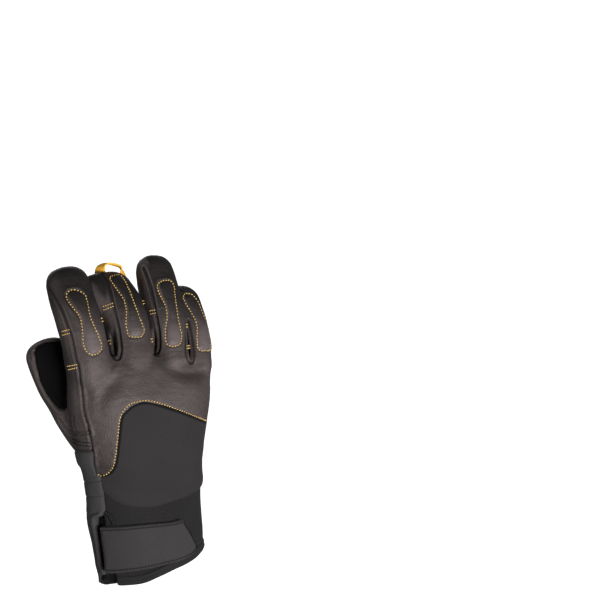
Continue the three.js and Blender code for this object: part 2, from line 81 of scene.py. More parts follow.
# Sections of the hand and cuff from below the hem up to the knuckles: x, y, z, width, depth
HAND_ROWS = [
    (33.5, -15, -275, 87, 48),
    (32, -16, -238, 92, 48),
    (29, -17.5, -216, 96, 47.5),
    (26.5, -19, -202, 97, 46.5),
    (25.5, -20, -189, 96, 45.5),
    (23.7, -22, -170, 98.4, 46),
    (22.2, -22.6, -161, 100.6, 46.5),
    (20, -23, -153, 105.5, 47),
    (18.6, -25, -125, 115, 48),
    (18.4, -25, -108, 120, 46.5),
    (18.7, -24.5, -94, 121.5, 42.5),
    (18.4, -24, -83, 120, 36),
    (17.2, -23.5, -73.5, 108, 22),
]

# Sections of each digit from its root to its tip: x, y, z, width, depth, roll in degrees. The roots
# are a little deeper than the plain solids', so that they flow out of the back of the hand.
DIGIT_ROWS = {
    "index": [
        (-18, -23, -114, 22, 22, -2),
        (-25.8, -24, -86, 32.5, 33, -4),
        (-29.7, -21.5, -61, 33.5, 29, -5),
        (-32.7, -16.5, -44, 33.5, 28, -5),
        (-35.5, -9, -26, 33, 26, -5),
        (-38, 0, -4, 32, 22, -5),
    ],
    "middle": [
        (10, -25, -114, 22, 22, 2),
        (9.2, -25, -84, 31.6, 34, 3),
        (8.1, -20, -53, 33, 29, 3),
        (4.4, -13, -34, 37, 28, 3),
        (-2.4, -5.5, -21, 41, 25, 3),
        (-4.6, 2.5, -10, 43, 20, 3),
    ],
    "ring": [
        (45, -24, -114, 22, 22, 6),
        (45.2, -23.5, -84, 31, 33, 8),
        (43.3, -20, -60, 29.8, 29, 10),
        (43, -15.5, -39, 33, 28, 10),
        (40.8, -9, -20, 32, 25, 10),
        (38.6, 0, 6.5, 29, 21, 10),
    ],
    "little": [
        (60, -20, -114, 20, 20, 14),
        (63.6, -19, -86, 32.8, 30, 17),
        (66.6, -14, -62, 33, 26.5, 20),
        (67, -8, -44, 30.5, 25, 20),
        (64.6, 2, -18, 27, 20, 20),
    ],
    "thumb": [
        (-4, -13, -152, 32, 27, -22),
        (-19.2, -5, -133, 35.6, 31, -24),
        (-31.1, 5, -109, 35.4, 30, -26),
        (-40, 11, -89, 36, 29, -26),
        (-49, 16, -60, 36, 23, -26),
    ],
}
FINGERS = ("index", "middle", "ring", "little")
PALMWARD = np.array([0, 1.0, 0])

# Reach of the side strips from a finger's middle towards back and palm, and its share left at the tip
STRIP_REACH = 10.0
LITTLE_BACK_REACH = 2.0
LITTLE_PALM_REACH = 11.0
TIP_SHARE = {"index": 0.2, "middle": 0.9, "ring": 0.45, "little": 0.5}
TIP_NARROWING = 38.0

# Reach of the index strip's palm side seam, where the fingers' seams pass into the hand's, how far
# these go down, how far seams end from the fingertips, and the distance of their points
INDEX_PALM_REACH = 9.0
FINGER_ROOT = -88.0
HAND_SEAM_TOP = -98.0
INDEX_SEAM_END = -150.0
LITTLE_SEAM_END = -182.0
OUTER_TIP_GAP = 2
CROTCH_TIP_GAP = 3
SEAM_STEP = 1.5

# The lowest points of the seams that turn round between the fingers
CROTCHES = {("index", "middle"): -76.7, ("middle", "ring"): -72.8, ("ring", "little"): -79.0}

# Where the leather ends at the thumb side and over the palm, the angles between which its palm lies,
# how far its borders pass each other there, how far the back and the thumb side pass the seam between
# them, and where its hidden part is cut off
THUMB_HEM = -146.0
PALM_HEM = -178.0
PALM_START = -8.0
PALM_LIMIT = 155.0
BORDER_OVERLAP = 2.5
BACK_OVERLAP = 0.4
SIDE_OVERLAP = 1.0
HIDDEN_LEATHER = 6.0
HIDDEN_BOTTOM = -186.0

# Relief of the leather: depth and width of its grooves, height of the swellings beside them with
# their distance and width, height and reach of a pad's crown, and how far the leather stands over
# its own hidden part, which lies sunk. Fine folds are stretched across the hand.
SEAM_GROOVE = (1.2, 0.75)
SEAM_SWELL = (0.5, 2.0, 1.1)
PAD_GROOVE = (0.8, 0.8)
PAD_SWELL = (0.3, 2.0, 1.2)
PAD_CROWN = 1.5
PAD_REACH = 2.4
GOLD_GROOVE = (0.35, 0.8)
GRAIN_STRETCH = np.array([0.6, 1, 1.6])
LEATHER_STEP = 4.1
LEATHER_SUNK = 3.2

# Soft waves of each surface: height, length, seed
WAVES = {
    "leather": (0.3, 34, 3),
    "fine_folds": (0.1, 7, 12),
    "thumb": (0.35, 30, 8),
    "wrist_panel": (0.35, 46, 21),
    "cuff": (0.3, 40, 5),
    "gusset": (0.3, 22, 31),
    "hem": (0.35, 40, 17),
    "strap": (0.25, 38, 44),
}

# Relief of the thumb: the groove of its panel's seam, the swelling outside it, how far the panel sinks,
# and over how much of its breadth
THUMB_GROOVE = (1.2, 1.0)
THUMB_SWELL = (0.6, 2.6, 1.5)
THUMB_SINK = 1.6
THUMB_SINK_REACH = 7

# Leather's edge over the wrist panel: x, z, and how far its gold seam lies inside it
LEATHER_EDGE = [
    (-80, -161), (-44, -162), (-27, -164), (-17, -163), (-13.2, -157), (-12, -141),
    (-10.6, -121), (-7, -114.5), (1, -108.8), (13, -107.2), (33, -113), (61, -122.6), (76, -127),
    (96, -132),
]
SEAM_INSET = 2.2

# Millimetres to each degree round the wrist near its thumb side, about
MM_PER_DEGREE = 0.45

# Seams and edges round the wrist: level, and angle in degrees, where -180 is the thumb side, -90 the
# back of the hand, 0 the little finger's side and 90 the palm
SIDE_SEAM = [
    (-98, -151.2), (-115, -150.9), (-126, -149.4), (-137, -148.8), (-146.5, -149.2),
    (-154.4, -151.5), (-163.6, -155), (-200, -155),
]
GUSSET_FRONT = [
    (-140, -144), (-156, -147), (-162, -150), (-168, -150.5), (-174.5, -149.4),
    (-184.5, -149.5), (-190, -148.8), (-194, -148.8), (-196.5, -150.5), (-198.5, -158.5),
    (-202, -161.8), (-209, -162.5), (-215, -163), (-225, -165.5), (-235, -167.5), (-247, -168.5),
    (-262, -168.5),
]
CUFF_FRONT = [
    (-160, -154), (-193, -153), (-197, -151), (-203, -149), (-226, -149), (-240, -148),
    (-247, -145), (-252, -142), (-262, -142),
]

# The gusset's rear edge and the panel's far side as angles, and the levels of the gusset's two seams
GUSSET_REAR = 149.0
PANEL_SIDE = -4.0
GUSSET_SEAMS = (-162.0, -174.0)

# Upper levels of the three cloths, under the leather or the panel, and a level in the cuff's middle
PANEL_TOP = -101.0
CUFF_TOP = -168.0
GUSSET_TOP = -138.0
CUFF_MIDDLE = -205.0

# Where the search for the cloths' borders starts: each one's first and last angle, and the hem's level
PANEL_GUESS = (-147.0, PANEL_SIDE)
CUFF_GUESS = (-146.0, GUSSET_REAR + 2)
GUSSET_GUESS = (-150.0, GUSSET_REAR - 360)
HEM_GUESS = -245.0

# Levels, without their minus sign, over which the slit between gusset and cuff opens
SLIT_OPENS = (193.5, 198.5)

# Relief of the wrist panel: lift, the edge that turns in, the swelling over it, how far it sinks under
# the leather between two depths, and the groove beside the gusset
PANEL_LIFT = 1.0
PANEL_TURN = (2.6, 0.8)
PANEL_SWELL = (0.7, 6, 5)
PANEL_SINK = 2.8
PANEL_SINKS = (0.8, 4.0)
PANEL_GROOVE = (1.6, 1.6)

# Relief of the cuff: lift, how far it sinks over how many levels under the panel, and the edge that
# turns in at the slit
CUFF_LIFT = -0.3
CUFF_SINK = 1.6
CUFF_SINKS = (0.0, 5.0)
CUFF_TURN = (1.2, 0.7)

# Relief of the gusset: lift, its fall where the slit opens, rise towards its front, the roll and the
# groove along the slit, how deep its front and rear edges turn in and how far round, the groove of a
# seam across it and the seam's slant, and how far it sinks under the back's and the thumb's leather
GUSSET_LIFT = 0.3
GUSSET_SLIT_FALL = 0.6
GUSSET_RISE = (0.8, 6)
GUSSET_ROLL = (1.9, 2.2, 1.9)
GUSSET_GROOVE = (0.9, 4.8, 0.7)
GUSSET_FRONT_TURN = (1.4, 2.6, 0.7)
GUSSET_REAR_TURN = (1.6, 0.9)
GUSSET_WIND = (7, 0.8)
GUSSET_SEAM_GROOVE = (0.9, 0.7)
GUSSET_SEAM_SLANT = 0.05
GUSSET_BACK_SINK = 3.0
GUSSET_THUMB_SINK = 3.2

# Relief of the strap: lift, roundness of its borders, its seam's groove and the crown inside
STRAP_BASE = 0.2
STRAP_ROUND = 0.5
STRAP_GROOVE = (0.35, 0.7)
STRAP_CROWN = 0.45
STRAP_CROWN_REACH = 9.0

# Walls of the cloths, the panel's also that of the gusset, and the depth behind the hand's middle over
# which the dents of its back fade out
PANEL_WALL = 1.4
CUFF_WALL = 2.2
STRAP_WALL = 1.6
DENT_FADE = 22

# The panel's lower edge: angle, level
PANEL_EDGE = [
    (-164, -170), (-154, -176), (-146.6, -180.4), (-130.4, -187.5), (-115.7, -191.2),
    (-101.2, -192.2), (-88.9, -190.9), (-69, -187.3), (-37, -182.4), (-20, -180), (0, -178.5),
    (20, -178),
]

# The bottom of the cuff: x, z, and how fast it drops towards the palm
HEM_EDGE = [
    (-60, -222), (-19, -240), (-14, -245.5), (-12, -248.6), (-9, -254), (-4, -256.2),
    (2, -256.6), (14, -255.8), (27, -251.7), (40, -247.2), (50, -244.2), (62, -239.5),
    (73, -234), (85, -226), (100, -214),
]
HEM_SHEAR = 0.12

# The hem's section: height over the cuff's bottom, and lift from the cuff. Then the angles of its ends.
HEM_SECTION = [
    (6.6, -0.6), (6.5, 0.7), (5.6, 1.2), (4.2, 1.35), (3.4, 1.0), (2.7, 1.5), (1.2, 1.7),
    (0.1, 1.1), (-0.5, 0.0), (-0.6, -1.4), (0.0, -2.7), (1.6, -3.3), (4.4, -3.3), (6.4, -2.8),
]
HEM_ENDS = (-142.5, 193.5)

# Where the hem lies closer: how much, and the angles over which that sets in at the thumb side, with
# its angle turned positive, and sets in and ends at the little finger's side. Then the lift at which
# its inner side is darkest, turned positive.
HEM_CLOSER = 0.9
HEM_THUMB_FADE = (140, 170)
HEM_LITTLE_STARTS = (-60, -25)
HEM_LITTLE_STOPS = (60, 120)
HEM_SHADE = 2.2

# The corner at the bottom of the thumb side: how deep it turns in over which levels, without their
# minus sign, in two steps, and the angle that it lies at with its width
CORNER_STEPS = ((1.6, (195, 230)), (8.0, (236, 257)))
CORNER_ANGLE = -176
CORNER_WIDTH = 20

# The closure strap's borders: angle, level. Then its length and height, how far it stands over the
# cuff, and how far its seam lies from its edge.
STRAP_TOP = [(-153.8, -206), (-126.6, -205.2), (-103.3, -204.2), (-82, -203.8), (-73, -202.4)]
STRAP_BOTTOM = [
    (-156.6, -243.4), (-149, -243.8), (-140, -243.3), (-114.6, -241.4), (-89.2, -237.9),
    (-70.2, -234.4), (-60, -230.9), (-56, -227),
]
STRAP_LONG = 84.0
STRAP_TALL = 38.0
STRAP_RISE = 4.2
STRAP_SEAM_INSET = 2.8

# The zigzag seam over the slit's top: angle, level
SLIT_SEAM = [(-158, -197.5), (-150, -194.5), (-143, -196), (-138, -201), (-137, -206.5)]

# Both loops: the tape's thickness, its width, each leg as shares of its spread with levels, spread to
# the left and to the right, turn of the tape on the legs in degrees, turn of the whole loop, and place
TAPE_THICK = 1.6
HANG_TAPE_WIDE = 8.5
HANG_LEG = [(1, -16), (0.97, -8.8), (0.78, -1.6), (0, 0.8)]
HANG_SPREAD = (8.0, 14.0)
HANG_LEG_TURN = 78
HANG_SPIN = 8
PULL_TAPE_WIDE = 7.0
PULL_LEG = [(1, 9), (1, 0), (0.8, -8.4), (0, -12)]
PULL_SPREAD = (6, 6)
PULL_LEG_TURN = 90
PULL_LOOP_PLACE = (50, 9.6, -240)

# Rows of stitches: pitch, the thread's share of it, and how far the ends lie off the line. Then the
# threads' radii and how far the rows lie over their surface, the slit's zigzag: width and step in
# degrees, and the strap's zigzag: insets from its end, number of turns and span as shares down it.
PAD_STITCH = (2.6, 0.58, 0.18)
EDGE_STITCH = (2.4, 0.52, 0.35)
BAR_STITCH = (1.9, 0.62, 0.0)
STRAP_STITCH = (2.4, 0.62, 0.0)
ZIGZAG_STITCH = (4.0, 0.9, 0.0)
HEM_STITCH = (2.4, 0.7, 0.0)
GOLD_RADIUS = 0.43
DARK_RADIUS = 0.5
GOLD_LIFT = 0.25
SEAM_LIFT = 0.3
STRAP_LIFT = 0.4
SLIT_LIFT = 0.9
SLIT_ZIGZAG = 3.4
ZIGZAG_STEP = 1.3
STRAP_ZIGZAG = (1.2, 4.2)
STRAP_ZIGZAG_TURNS = 34
STRAP_ZIGZAG_SPAN = (0.1, 0.97)

# Hollows and swellings of the back of the hand: x, z, reach across, reach up, depth
DENTS = [
    (60, -88, 16, 6, 3.2),
    (58, -99, 14, 7, -1.4),
    (-14, -92, 12, 9, 1.2),
    (28, -88, 10, 6, 1.4),
    (24, -184, 60, 7, 1.2),
    (26, -168, 50, 8, -1.2),
]

# Creases of the leather as picture points, each with its depth and its half width in millimetres
CREASES = [
    ([(115.6, 363.5), (111, 368), (107.4, 375.5)], 0.3, 1.8),
    ([(79.5, 370.3), (87, 369.6), (95.4, 370.4)], 0.28, 0.7),
    ([(79.8, 373.4), (87, 372.9), (93, 373.4)], 0.22, 0.7),
    ([(98, 378), (91, 388), (87.5, 404)], 0.5, 4.0),
    ([(108, 383), (102.5, 396), (100, 416)], 0.45, 4.5),
    ([(150, 364), (149, 376), (152, 392)], 0.3, 5.0),
    ([(158, 359), (165, 366), (176, 370.5), (190, 371.5), (203, 368)], 1.5, 4.2),
    ([(59.8, 420.4), (62.3, 424.6), (65.5, 428.7), (69.3, 432.2), (77.3, 433.6), (82, 433.8),
      (89.4, 432)], 1.5, 1.2),
    ([(74.5, 416.6), (74.1, 422.3), (75.4, 428), (77, 431.6)], 1.0, 0.9),
    ([(79, 383), (86, 390), (90, 398)], 0.25, 2.2),
    ([(110.5, 367), (103, 377), (96, 385), (88, 390)], 0.3, 2.0),
    ([(121, 371), (113, 383), (104, 394), (97, 405)], 0.35, 4.5),
    ([(144, 372), (142, 384), (143, 396)], 0.25, 3.0),
    ([(120.5, 366), (124, 372), (133, 376)], 0.2, 1.2),
    ([(85.5, 440), (90.4, 436), (94, 446)], 0.25, 1.4),
    ([(97, 452), (101, 447), (108, 444)], 0.22, 1.6),
    ([(99, 463), (104, 459), (111, 457)], 0.22, 1.6),
    ([(63, 403), (66, 413), (68, 420)], 0.7, 1.6),
    ([(69, 408), (71, 416), (71.5, 424)], 0.5, 1.4),
    ([(30, 356), (34, 366), (38, 378)], 0.5, 1.6),
    ([(33, 352), (40, 346.5), (48, 344)], 0.35, 1.0),
]

# The camera that the glove was measured through
CAMERA_PLACE = np.array([-529.60896, -1192.07935, -28.44])
CAMERA_TURN = np.radians(-30.75)
CAMERA_LENS = 96.675
SENSOR = 36.0
PICTURE = 600
FOCAL_PIXELS = CAMERA_LENS / SENSOR * PICTURE
FORWARD = np.array([-np.sin(CAMERA_TURN), np.cos(CAMERA_TURN), 0])
RIGHT = np.array([np.cos(CAMERA_TURN), np.sin(CAMERA_TURN), 0])
UP = np.array([0, 0, 1.0])

# Gold-stitched outlines of the knuckle pads, as picture points in order round each pad
PAD_OUTLINES = {
    "index": [
        (76, 290.5), (84.5, 295.5), (86.5, 304), (88.8, 314.4), (93, 326), (98.6, 338.2),
        (100.7, 349.4), (92.3, 355.3), (85.9, 350.8), (83.4, 343), (83.1, 335.4), (80.3, 318.6),
        (72, 306.5), (66.3, 297), (68.5, 291.8),
    ],
    "middle": [
        (115.4, 275.8), (121, 276.5), (127.3, 287.7), (130.8, 296.1), (136.5, 311.6),
        (140.7, 322.8), (143.2, 331), (141.3, 335.8), (135.8, 337.4), (129.5, 336.4), (127.4, 332),
        (125.9, 324), (125.9, 311.6), (123.8, 300.3), (115.4, 288.4), (110.6, 281.5),
        (110, 277.6),
    ],
    "ring": [
        (164.5, 280.7), (170.4, 281.6), (172.9, 285.4), (174, 292), (175, 301.7), (177.1, 315.8),
        (180, 331.2), (180.7, 339.6), (178.6, 344.7), (172.9, 346.4), (167.6, 344.8),
        (165.7, 339.6), (165.6, 329.8), (167, 315.8), (165.2, 306), (160.3, 296), (157.3, 288.5),
        (158.6, 283.2),
    ],
    "little": [
        (187.7, 293.6), (193, 296), (197.6, 303), (201.6, 313), (205.8, 324.2), (209.2, 335.4),
        (210.8, 345), (209, 349.6), (203.8, 351), (198.6, 350), (197, 346.5), (196.5, 338.2),
        (196.5, 325.6), (194, 318.6), (188.4, 308.8), (183, 300), (183.4, 295.6),
    ],
}

# Gold double bars across the strips, as the picture points of both ends of each row
BARS = [
    ((61.9, 331.5), (70.2, 329.5)), ((62.5, 335.1), (70.2, 333.2)),
    ((67.5, 366.3), (77.2, 364.5)), ((68.3, 369.6), (77.5, 367.6)),
    ((102.6, 306.6), (113.0, 303.3)), ((102.8, 310.2), (113.6, 306.3)),
    ((149.3, 310.9), (156.0, 309.8)), ((150.0, 314.0), (156.6, 312.9)),
    ((185.7, 346.2), (190.4, 345.6)), ((185.9, 348.6), (190.4, 348.0)),
    ((100.6, 318.6), (103.0, 318.0)), ((101.4, 321.6), (103.8, 321.0)),
    ((108.4, 341.0), (111.0, 340.6)), ((109.2, 344.2), (111.6, 343.8)),
    ((142.0, 301.2), (144.3, 300.8)), ((142.8, 304.0), (145.2, 303.6)),
    ((150.3, 339.2), (153.0, 338.8)), ((150.8, 342.0), (153.4, 341.6)),
    ((185.2, 324.6), (187.0, 324.2)), ((185.5, 327.2), (187.3, 326.9)),
]

# Gold seam along the leather's edge over the wrist panel, as picture points
EDGE_SEAM = [
    (97.0, 474.2), (102, 475.3), (108.3, 472.9), (113, 466.7), (115.4, 455.2), (116.9, 443.8),
    (118.3, 431.3), (119.7, 418.9), (123.6, 410.3), (130.3, 404), (137, 401.7), (146.5, 400.7),
    (156.1, 402.1), (170.4, 406.9), (184.8, 412.2), (198.2, 417.4), (206.0, 420.6),
]

# The seam between the back and the thumb side's strip, from the index fingertip to the wrist
INDEX_SEAM = [
    (48.9, 287), (55.2, 297), (62.8, 311), (67.9, 325), (71.6, 335), (74, 346), (76.4, 359),
    (78.8, 366), (80.4, 378), (82.4, 394), (83.3, 405.7), (84.7, 413.4), (86.2, 419.8),
    (88.2, 425.5), (89.3, 432), (91, 441), (92.8, 452), (93.6, 462), (95.2, 472),
]

# The seams of the back round each gap between two fingers, from the left finger down round the
# crotch and up to the right finger's tip
GAP_SEAMS = [
    [(95.4, 303), (100.7, 315), (105, 325.7), (108.3, 336.4), (109.5, 345.8), (110.6, 352.5),
     (113.2, 358.3), (116.8, 360.5), (120.1, 357.9), (121.7, 349.8), (120.8, 339.1), (119.2, 328.4),
     (116.8, 317.7), (114.4, 307), (112.1, 296.2), (109.4, 286.9), (106.1, 279.8), (102, 274.8)],
    [(136.2, 289.6), (141.6, 300.3), (145.6, 312.3), (148.9, 325.7), (150.1, 336.4), (150.7, 345.8),
     (151.9, 351.8), (154.3, 354.7), (157.2, 354.7), (159.6, 351.8), (160.5, 344.5), (159.4, 331.1),
     (157.6, 320.4), (155.6, 309.6), (153.6, 298.9), (150.9, 286.9), (146.9, 274.8), (143.6, 267.4)],
    [(184.2, 320.4), (184.6, 333.7), (184.7, 345.8), (185.4, 355.2), (187.4, 361.4), (190.2, 363.7),
     (192.6, 361.2), (193.6, 353.8), (192.7, 344.5), (190.8, 332.4), (188.4, 320.4)],
]

# Outlines of the openings between fingers at their lower ends, as picture points, with the depth of
# each. Their upper ends run out into the fingers' own gap, over the height that follows. The last
# is the picture distance over which their walls sink.
CLEFTS = [
    ([(109, 329), (111.4, 340), (112.8, 347), (113.6, 352), (115, 357), (116.8, 356.6),
      (117.8, 350), (117.4, 342), (115, 329)], 9.0),
    ([(152.4, 327), (153.4, 336), (154.1, 343), (154.6, 348), (155.6, 352), (157.2, 351),
      (158.1, 345), (157.8, 336), (156.4, 327)], 9.0),
    ([(184.8, 314), (185.6, 330), (186.2, 344), (187.2, 354), (188.6, 359.6), (190.4, 359.6),
      (191.2, 354), (190.2, 344), (188, 330), (186.2, 314)], 10.0),
]
CLEFT_FADE = 20.0
CLEFT_EDGE = 1.1

# Outline of the sunken panel on the thumb's back, as picture points
THUMB_PANEL = [
    (38, 345), (34.6, 350), (35, 360), (37.4, 372), (40.6, 384), (45, 392.5), (50, 400),
    (57, 407.5), (64.4, 409), (72.4, 404), (84, 390), (84, 360), (70, 344), (50, 341.5),
]

# Two dark seams along the leather's hem on the thumb side, as picture points
THUMB_HEM_SEAMS = [
    [(72.5, 441.6), (78.9, 444.9), (85, 446), (91.2, 446.2)],
    [(70, 437.6), (78, 441.4), (85, 442.6), (90.4, 442.6)],
]

# The level of the fingers' roots, how far up and down they are smoothed, over what distance this sets
# in under the floor of the crotches, and that floor: places in x, and the level at each
ROOT_LEVEL = -90.0
ROOT_REACH = 12
ROOT_FADE = (-1.5, 3.5)
CROTCH_FLOOR = (
    [-40, -8, 10, 28, 44, 57, 80],
    [-80, -78.5, -78, -75, -76.5, -81, -84],
)


def spline(points, count=None, at=None):
    """Uniform Catmull-Rom curve through the points, read at count even parameters or at given ones.

    Each stretch is the cubic with the two points' values and, at each, half the difference of its
    two neighbours as slope. The ends are carried on in a straight line.
    """
    p = np.asarray(points, float)
    p = np.vstack([2 * p[0] - p[1], p, 2 * p[-1] - p[-2]])
    t = np.linspace(0, 1, count) if at is None else np.asarray(at, float)
    place = np.clip(t * (len(p) - 3), 0, len(p) - 3 - 1e-9)
    i = place.astype(int)
    w = (place - i)[:, None]
    a, b, c, d = p[i], p[i + 1], p[i + 2], p[i + 3]
    m, n = (c - a) / 2, (d - b) / 2
    return b + m * w + (3 * (c - b) - 2 * m - n) * w**2 + (2 * (b - c) + m + n) * w**3


def closed_spline(points, count):
    """The same curve closed on itself, at count points even in length."""
    p = np.asarray(points, float)
    ring = np.vstack([p[-2:], p, p[:3]])
    dense = spline(ring, (len(ring) - 1) * 20 + 1)[40:40 + len(p) * 20 + 1]
    return even(dense, count + 1)[:-1]


def reach_along(line):
    """The distance along a line at each of its points."""
    return np.concatenate([[0], np.cumsum(np.linalg.norm(np.diff(line, axis=0), axis=1))])


def read_line(values, reach, at):
    """Rows of values, known at the distances reach, read at other distances."""
    return np.stack([np.interp(at, reach, column) for column in values.T], axis=-1)


def even(line, count):
    """The line's points at count even distances along it."""
    reach = reach_along(line)
    return read_line(line, reach, np.linspace(0, reach[-1], count))


def length_of(line):
    """The length of a line of points."""
    return float(np.linalg.norm(np.diff(line, axis=0), axis=1).sum())


def closed(ring):
    """The ring with its first point again at its end."""
    return np.vstack([ring, ring[:1]])


def unit(vectors):
    """The vectors, each divided by its own length."""
    return vectors / np.maximum(np.linalg.norm(vectors, axis=-1, keepdims=True), 1e-9)


def ease(value, low, high):
    """0 below low, 1 above high and a smooth cubic between."""
    t = np.clip((value - low) / (high - low), 0, 1)
    return t * t * (3 - 2 * t)


def bell(distance, width):
    """A bell curve: exp(-(d/w)^2)."""
    return np.exp(-((distance / width) ** 2))


def groove(distance, depth, width):
    """A groove's lift: a bell curve downwards."""
    return -depth * bell(distance, width)


def swell(distance, height, away, width):
    """The lift of a swelling that runs beside something, away from it: a bell curve upwards."""
    return height * bell(distance - away, width)


def fall(distance, depth, reach):
    """The lift of an edge that turns in: -depth exp(-d/reach)."""
    return -depth * np.exp(-distance / reach)


def signed_power(value, power):
    """The value's size raised to a power, with the value's own sign."""
    return np.sign(value) * np.abs(value) ** power


def superellipse(angle):
    """Shares a across and p towards the palm on the superellipse |a|^n + |p|^n = 1."""
    power = 2 / SECTION_POWER
    return signed_power(np.cos(angle), power), signed_power(np.sin(angle), power)


class Guide:
    """The middle line of a digit or of the hand, with its directions across and towards the palm."""

    def __init__(self, rows):
        rows = [tuple(row) + (0,) * (6 - len(row)) for row in rows]
        table = spline(rows, 401)
        self.centre = table[:, :3]
        self.reach = reach_along(self.centre)
        self.length = self.reach[-1]
        self.along = unit(np.gradient(self.centre, self.reach, axis=0))
        self.size = table[:, 3:]

    def distance_at(self, level):
        """The distance along at which the middle line passes a level."""
        return np.interp(level, self.centre[:, 2], self.reach)

    def station(self, distance):
        """Centre, direction along, across and towards the palm, half width and half depth."""
        distance = np.asarray(distance, float)
        held = np.clip(distance, 0, self.length)
        along = unit(read_line(self.along, self.reach, held))
        centre = read_line(self.centre, self.reach, held) + along * (distance - held)[..., None]
        size = read_line(self.size, self.reach, held)
        turn = np.radians(size[..., 2])
        across = np.stack([np.cos(turn), np.sin(turn), 0 * turn], axis=-1)
        across = unit(across - along * (across * along).sum(-1, keepdims=True))
        return centre, along, across, np.cross(along, across), size[..., 0] / 2, size[..., 1] / 2

    def middle_of(self, points):
        """The middle line's point beside each point."""
        marks = self.centre[::5]
        squares = ((points[:, None, :] - marks[None, :, :]) ** 2).sum(-1)
        near = squares.argmin(1) * 5
        step = ((points - self.centre[near]) * self.along[near]).sum(-1)
        return self.station(self.reach[near] + step)[0]


HAND = Guide(HAND_ROWS)
DIGITS = {name: Guide(rows) for name, rows in DIGIT_ROWS.items()}


def section(guide, distance, angle, inset=0.0):
    """Points of a tube round a guide: the superellipse |a/w|^n + |p/d|^n = 1 in each section, where
    a is across and p towards the palm."""
    centre, _, across, palmward, wide, deep = guide.station(distance)
    a, p = superellipse(angle)
    return (centre + across * (a * (wide - inset))[..., None]
            + palmward * (p * (deep - inset))[..., None])


def tip_width(name, share):
    """The share of its full width that a fingertip has at a share s of its length: the superellipse
    (1 - s^q)^(1/q)."""
    power = TIP_POWER[name]
    return np.maximum(1 - share**power, 0) ** (1 / power)


def digit_surface(name, rows, columns, inset=0.0):
    """A digit's tube on a grid of rows along and columns round. Its sections shrink to almost
    nothing over the tip, whose rows bunch towards the end as a sine."""
    guide = DIGITS[name]
    shaft = guide.length - TIP_LENGTH
    share = np.linspace(0, 1, rows)
    dome = np.sin(np.clip((share - SHAFT_SHARE) / (1 - SHAFT_SHARE), 0, 1) * np.pi / 2)
    distance = np.where(share < SHAFT_SHARE, shaft * share / SHAFT_SHARE,
                        shaft + (TIP_LENGTH - inset) * dome)
    narrow = np.maximum(tip_width(name, dome), 0.01)
    angle = np.linspace(0, 2 * np.pi, columns, endpoint=False)
    s, t = np.meshgrid(distance, angle, indexing="ij")
    full = section(guide, s, t, inset)
    centre = guide.station(s)[0]
    return centre + (full - centre) * narrow[:, None, None]


def hand_size(level):
    """The middle's x and y and the half width and half depth of the hand's section at a level."""
    columns = (HAND.centre[:, 0], HAND.centre[:, 1], HAND.size[:, 0] / 2, HAND.size[:, 1] / 2)
    return tuple(np.interp(level, HAND.centre[:, 2], column) for column in columns)


def hand_surface(level, angle, lift=0.0):
    """The hand's and cuff's tube at levels and angles, made wider and deeper by lift: the
    superellipse |a/w|^n + |p/d|^n = 1 in each level section, bent by the arch times (a/w) squared."""
    x, y, wide, deep = hand_size(level)
    a, p = superellipse(angle)
    across = x + a * (wide + lift)
    out = y + p * (deep + lift) + HAND_ARCH * a**2
    return np.stack(np.broadcast_arrays(across, out, level), axis=-1)


def hand_angle(points):
    """The angle round the hand's tube, in radians, of points near it."""
    x, y, wide, deep = hand_size(points[..., 2])
    a = (points[..., 0] - x) / wide
    p = (points[..., 1] - y - HAND_ARCH * np.minimum(a**2, 1.2)) / deep
    half = SECTION_POWER / 2
    return np.arctan2(signed_power(p, half), signed_power(a, half))


def reach_angle(level, side, reach):
    """The angle at which the hand's skin lies reach towards the palm on one side."""
    sine = signed_power(reach / hand_size(level)[3], SECTION_POWER / 2)
    angle = np.arcsin(np.clip(sine, -1, 1))
    return angle if side > 0 else np.pi - angle


def read_table(table, at):
    """The second column of a table at values of its first, on the curve through its rows."""
    rows = np.array(sorted(table))
    line = spline(rows, 300)
    return np.interp(at, line[:, 0], line[:, 1])


def dent_depth(x, z):
    """Depth of the dents at x and z: a sum of bell curves."""
    return sum(depth * bell(x - middle, wide) * bell(z - level, tall)
               for middle, level, wide, tall, depth in DENTS)


def grid_faces(rows, columns, around):
    """Quads of a grid, closed from its last column to its first where around is true."""
    r = np.arange(rows - 1)[:, None]
    c = np.arange(columns if around else columns - 1)[None, :]
    n = (c + 1) % columns
    a, b = r * columns + c, r * columns + n
    return np.stack([a, b, b + columns, a + columns], axis=-1).reshape(-1, 4)


def new_object(name, points, faces):
    """A smooth mesh object at the origin from points in millimetres and faces of equal size."""
    mesh = bpy.data.meshes.new(name)
    faces = np.asarray(faces)
    sides = faces.shape[1]
    mesh.vertices.add(len(points))
    mesh.vertices.foreach_set("co", (np.asarray(points) * MM).astype(np.float32).ravel())
    mesh.loops.add(faces.size)
    mesh.loops.foreach_set("vertex_index", faces.astype(np.int32).ravel())
    mesh.polygons.add(len(faces))
    mesh.polygons.foreach_set("loop_start", np.arange(0, faces.size, sides, dtype=np.int32))
    mesh.update(calc_edges=True)
    mesh.validate()
    mesh.polygons.foreach_set("use_smooth", np.ones(len(mesh.polygons), bool))
    piece = bpy.data.objects.new(name, mesh)
    bpy.context.scene.collection.objects.link(piece)
    return piece


def set_attribute(piece, name, values):
    """A number for each point of the piece, for its material to read."""
    layer = piece.data.attributes.new(name, "FLOAT", "POINT")
    layer.data.foreach_set("value", np.asarray(values, np.float32))


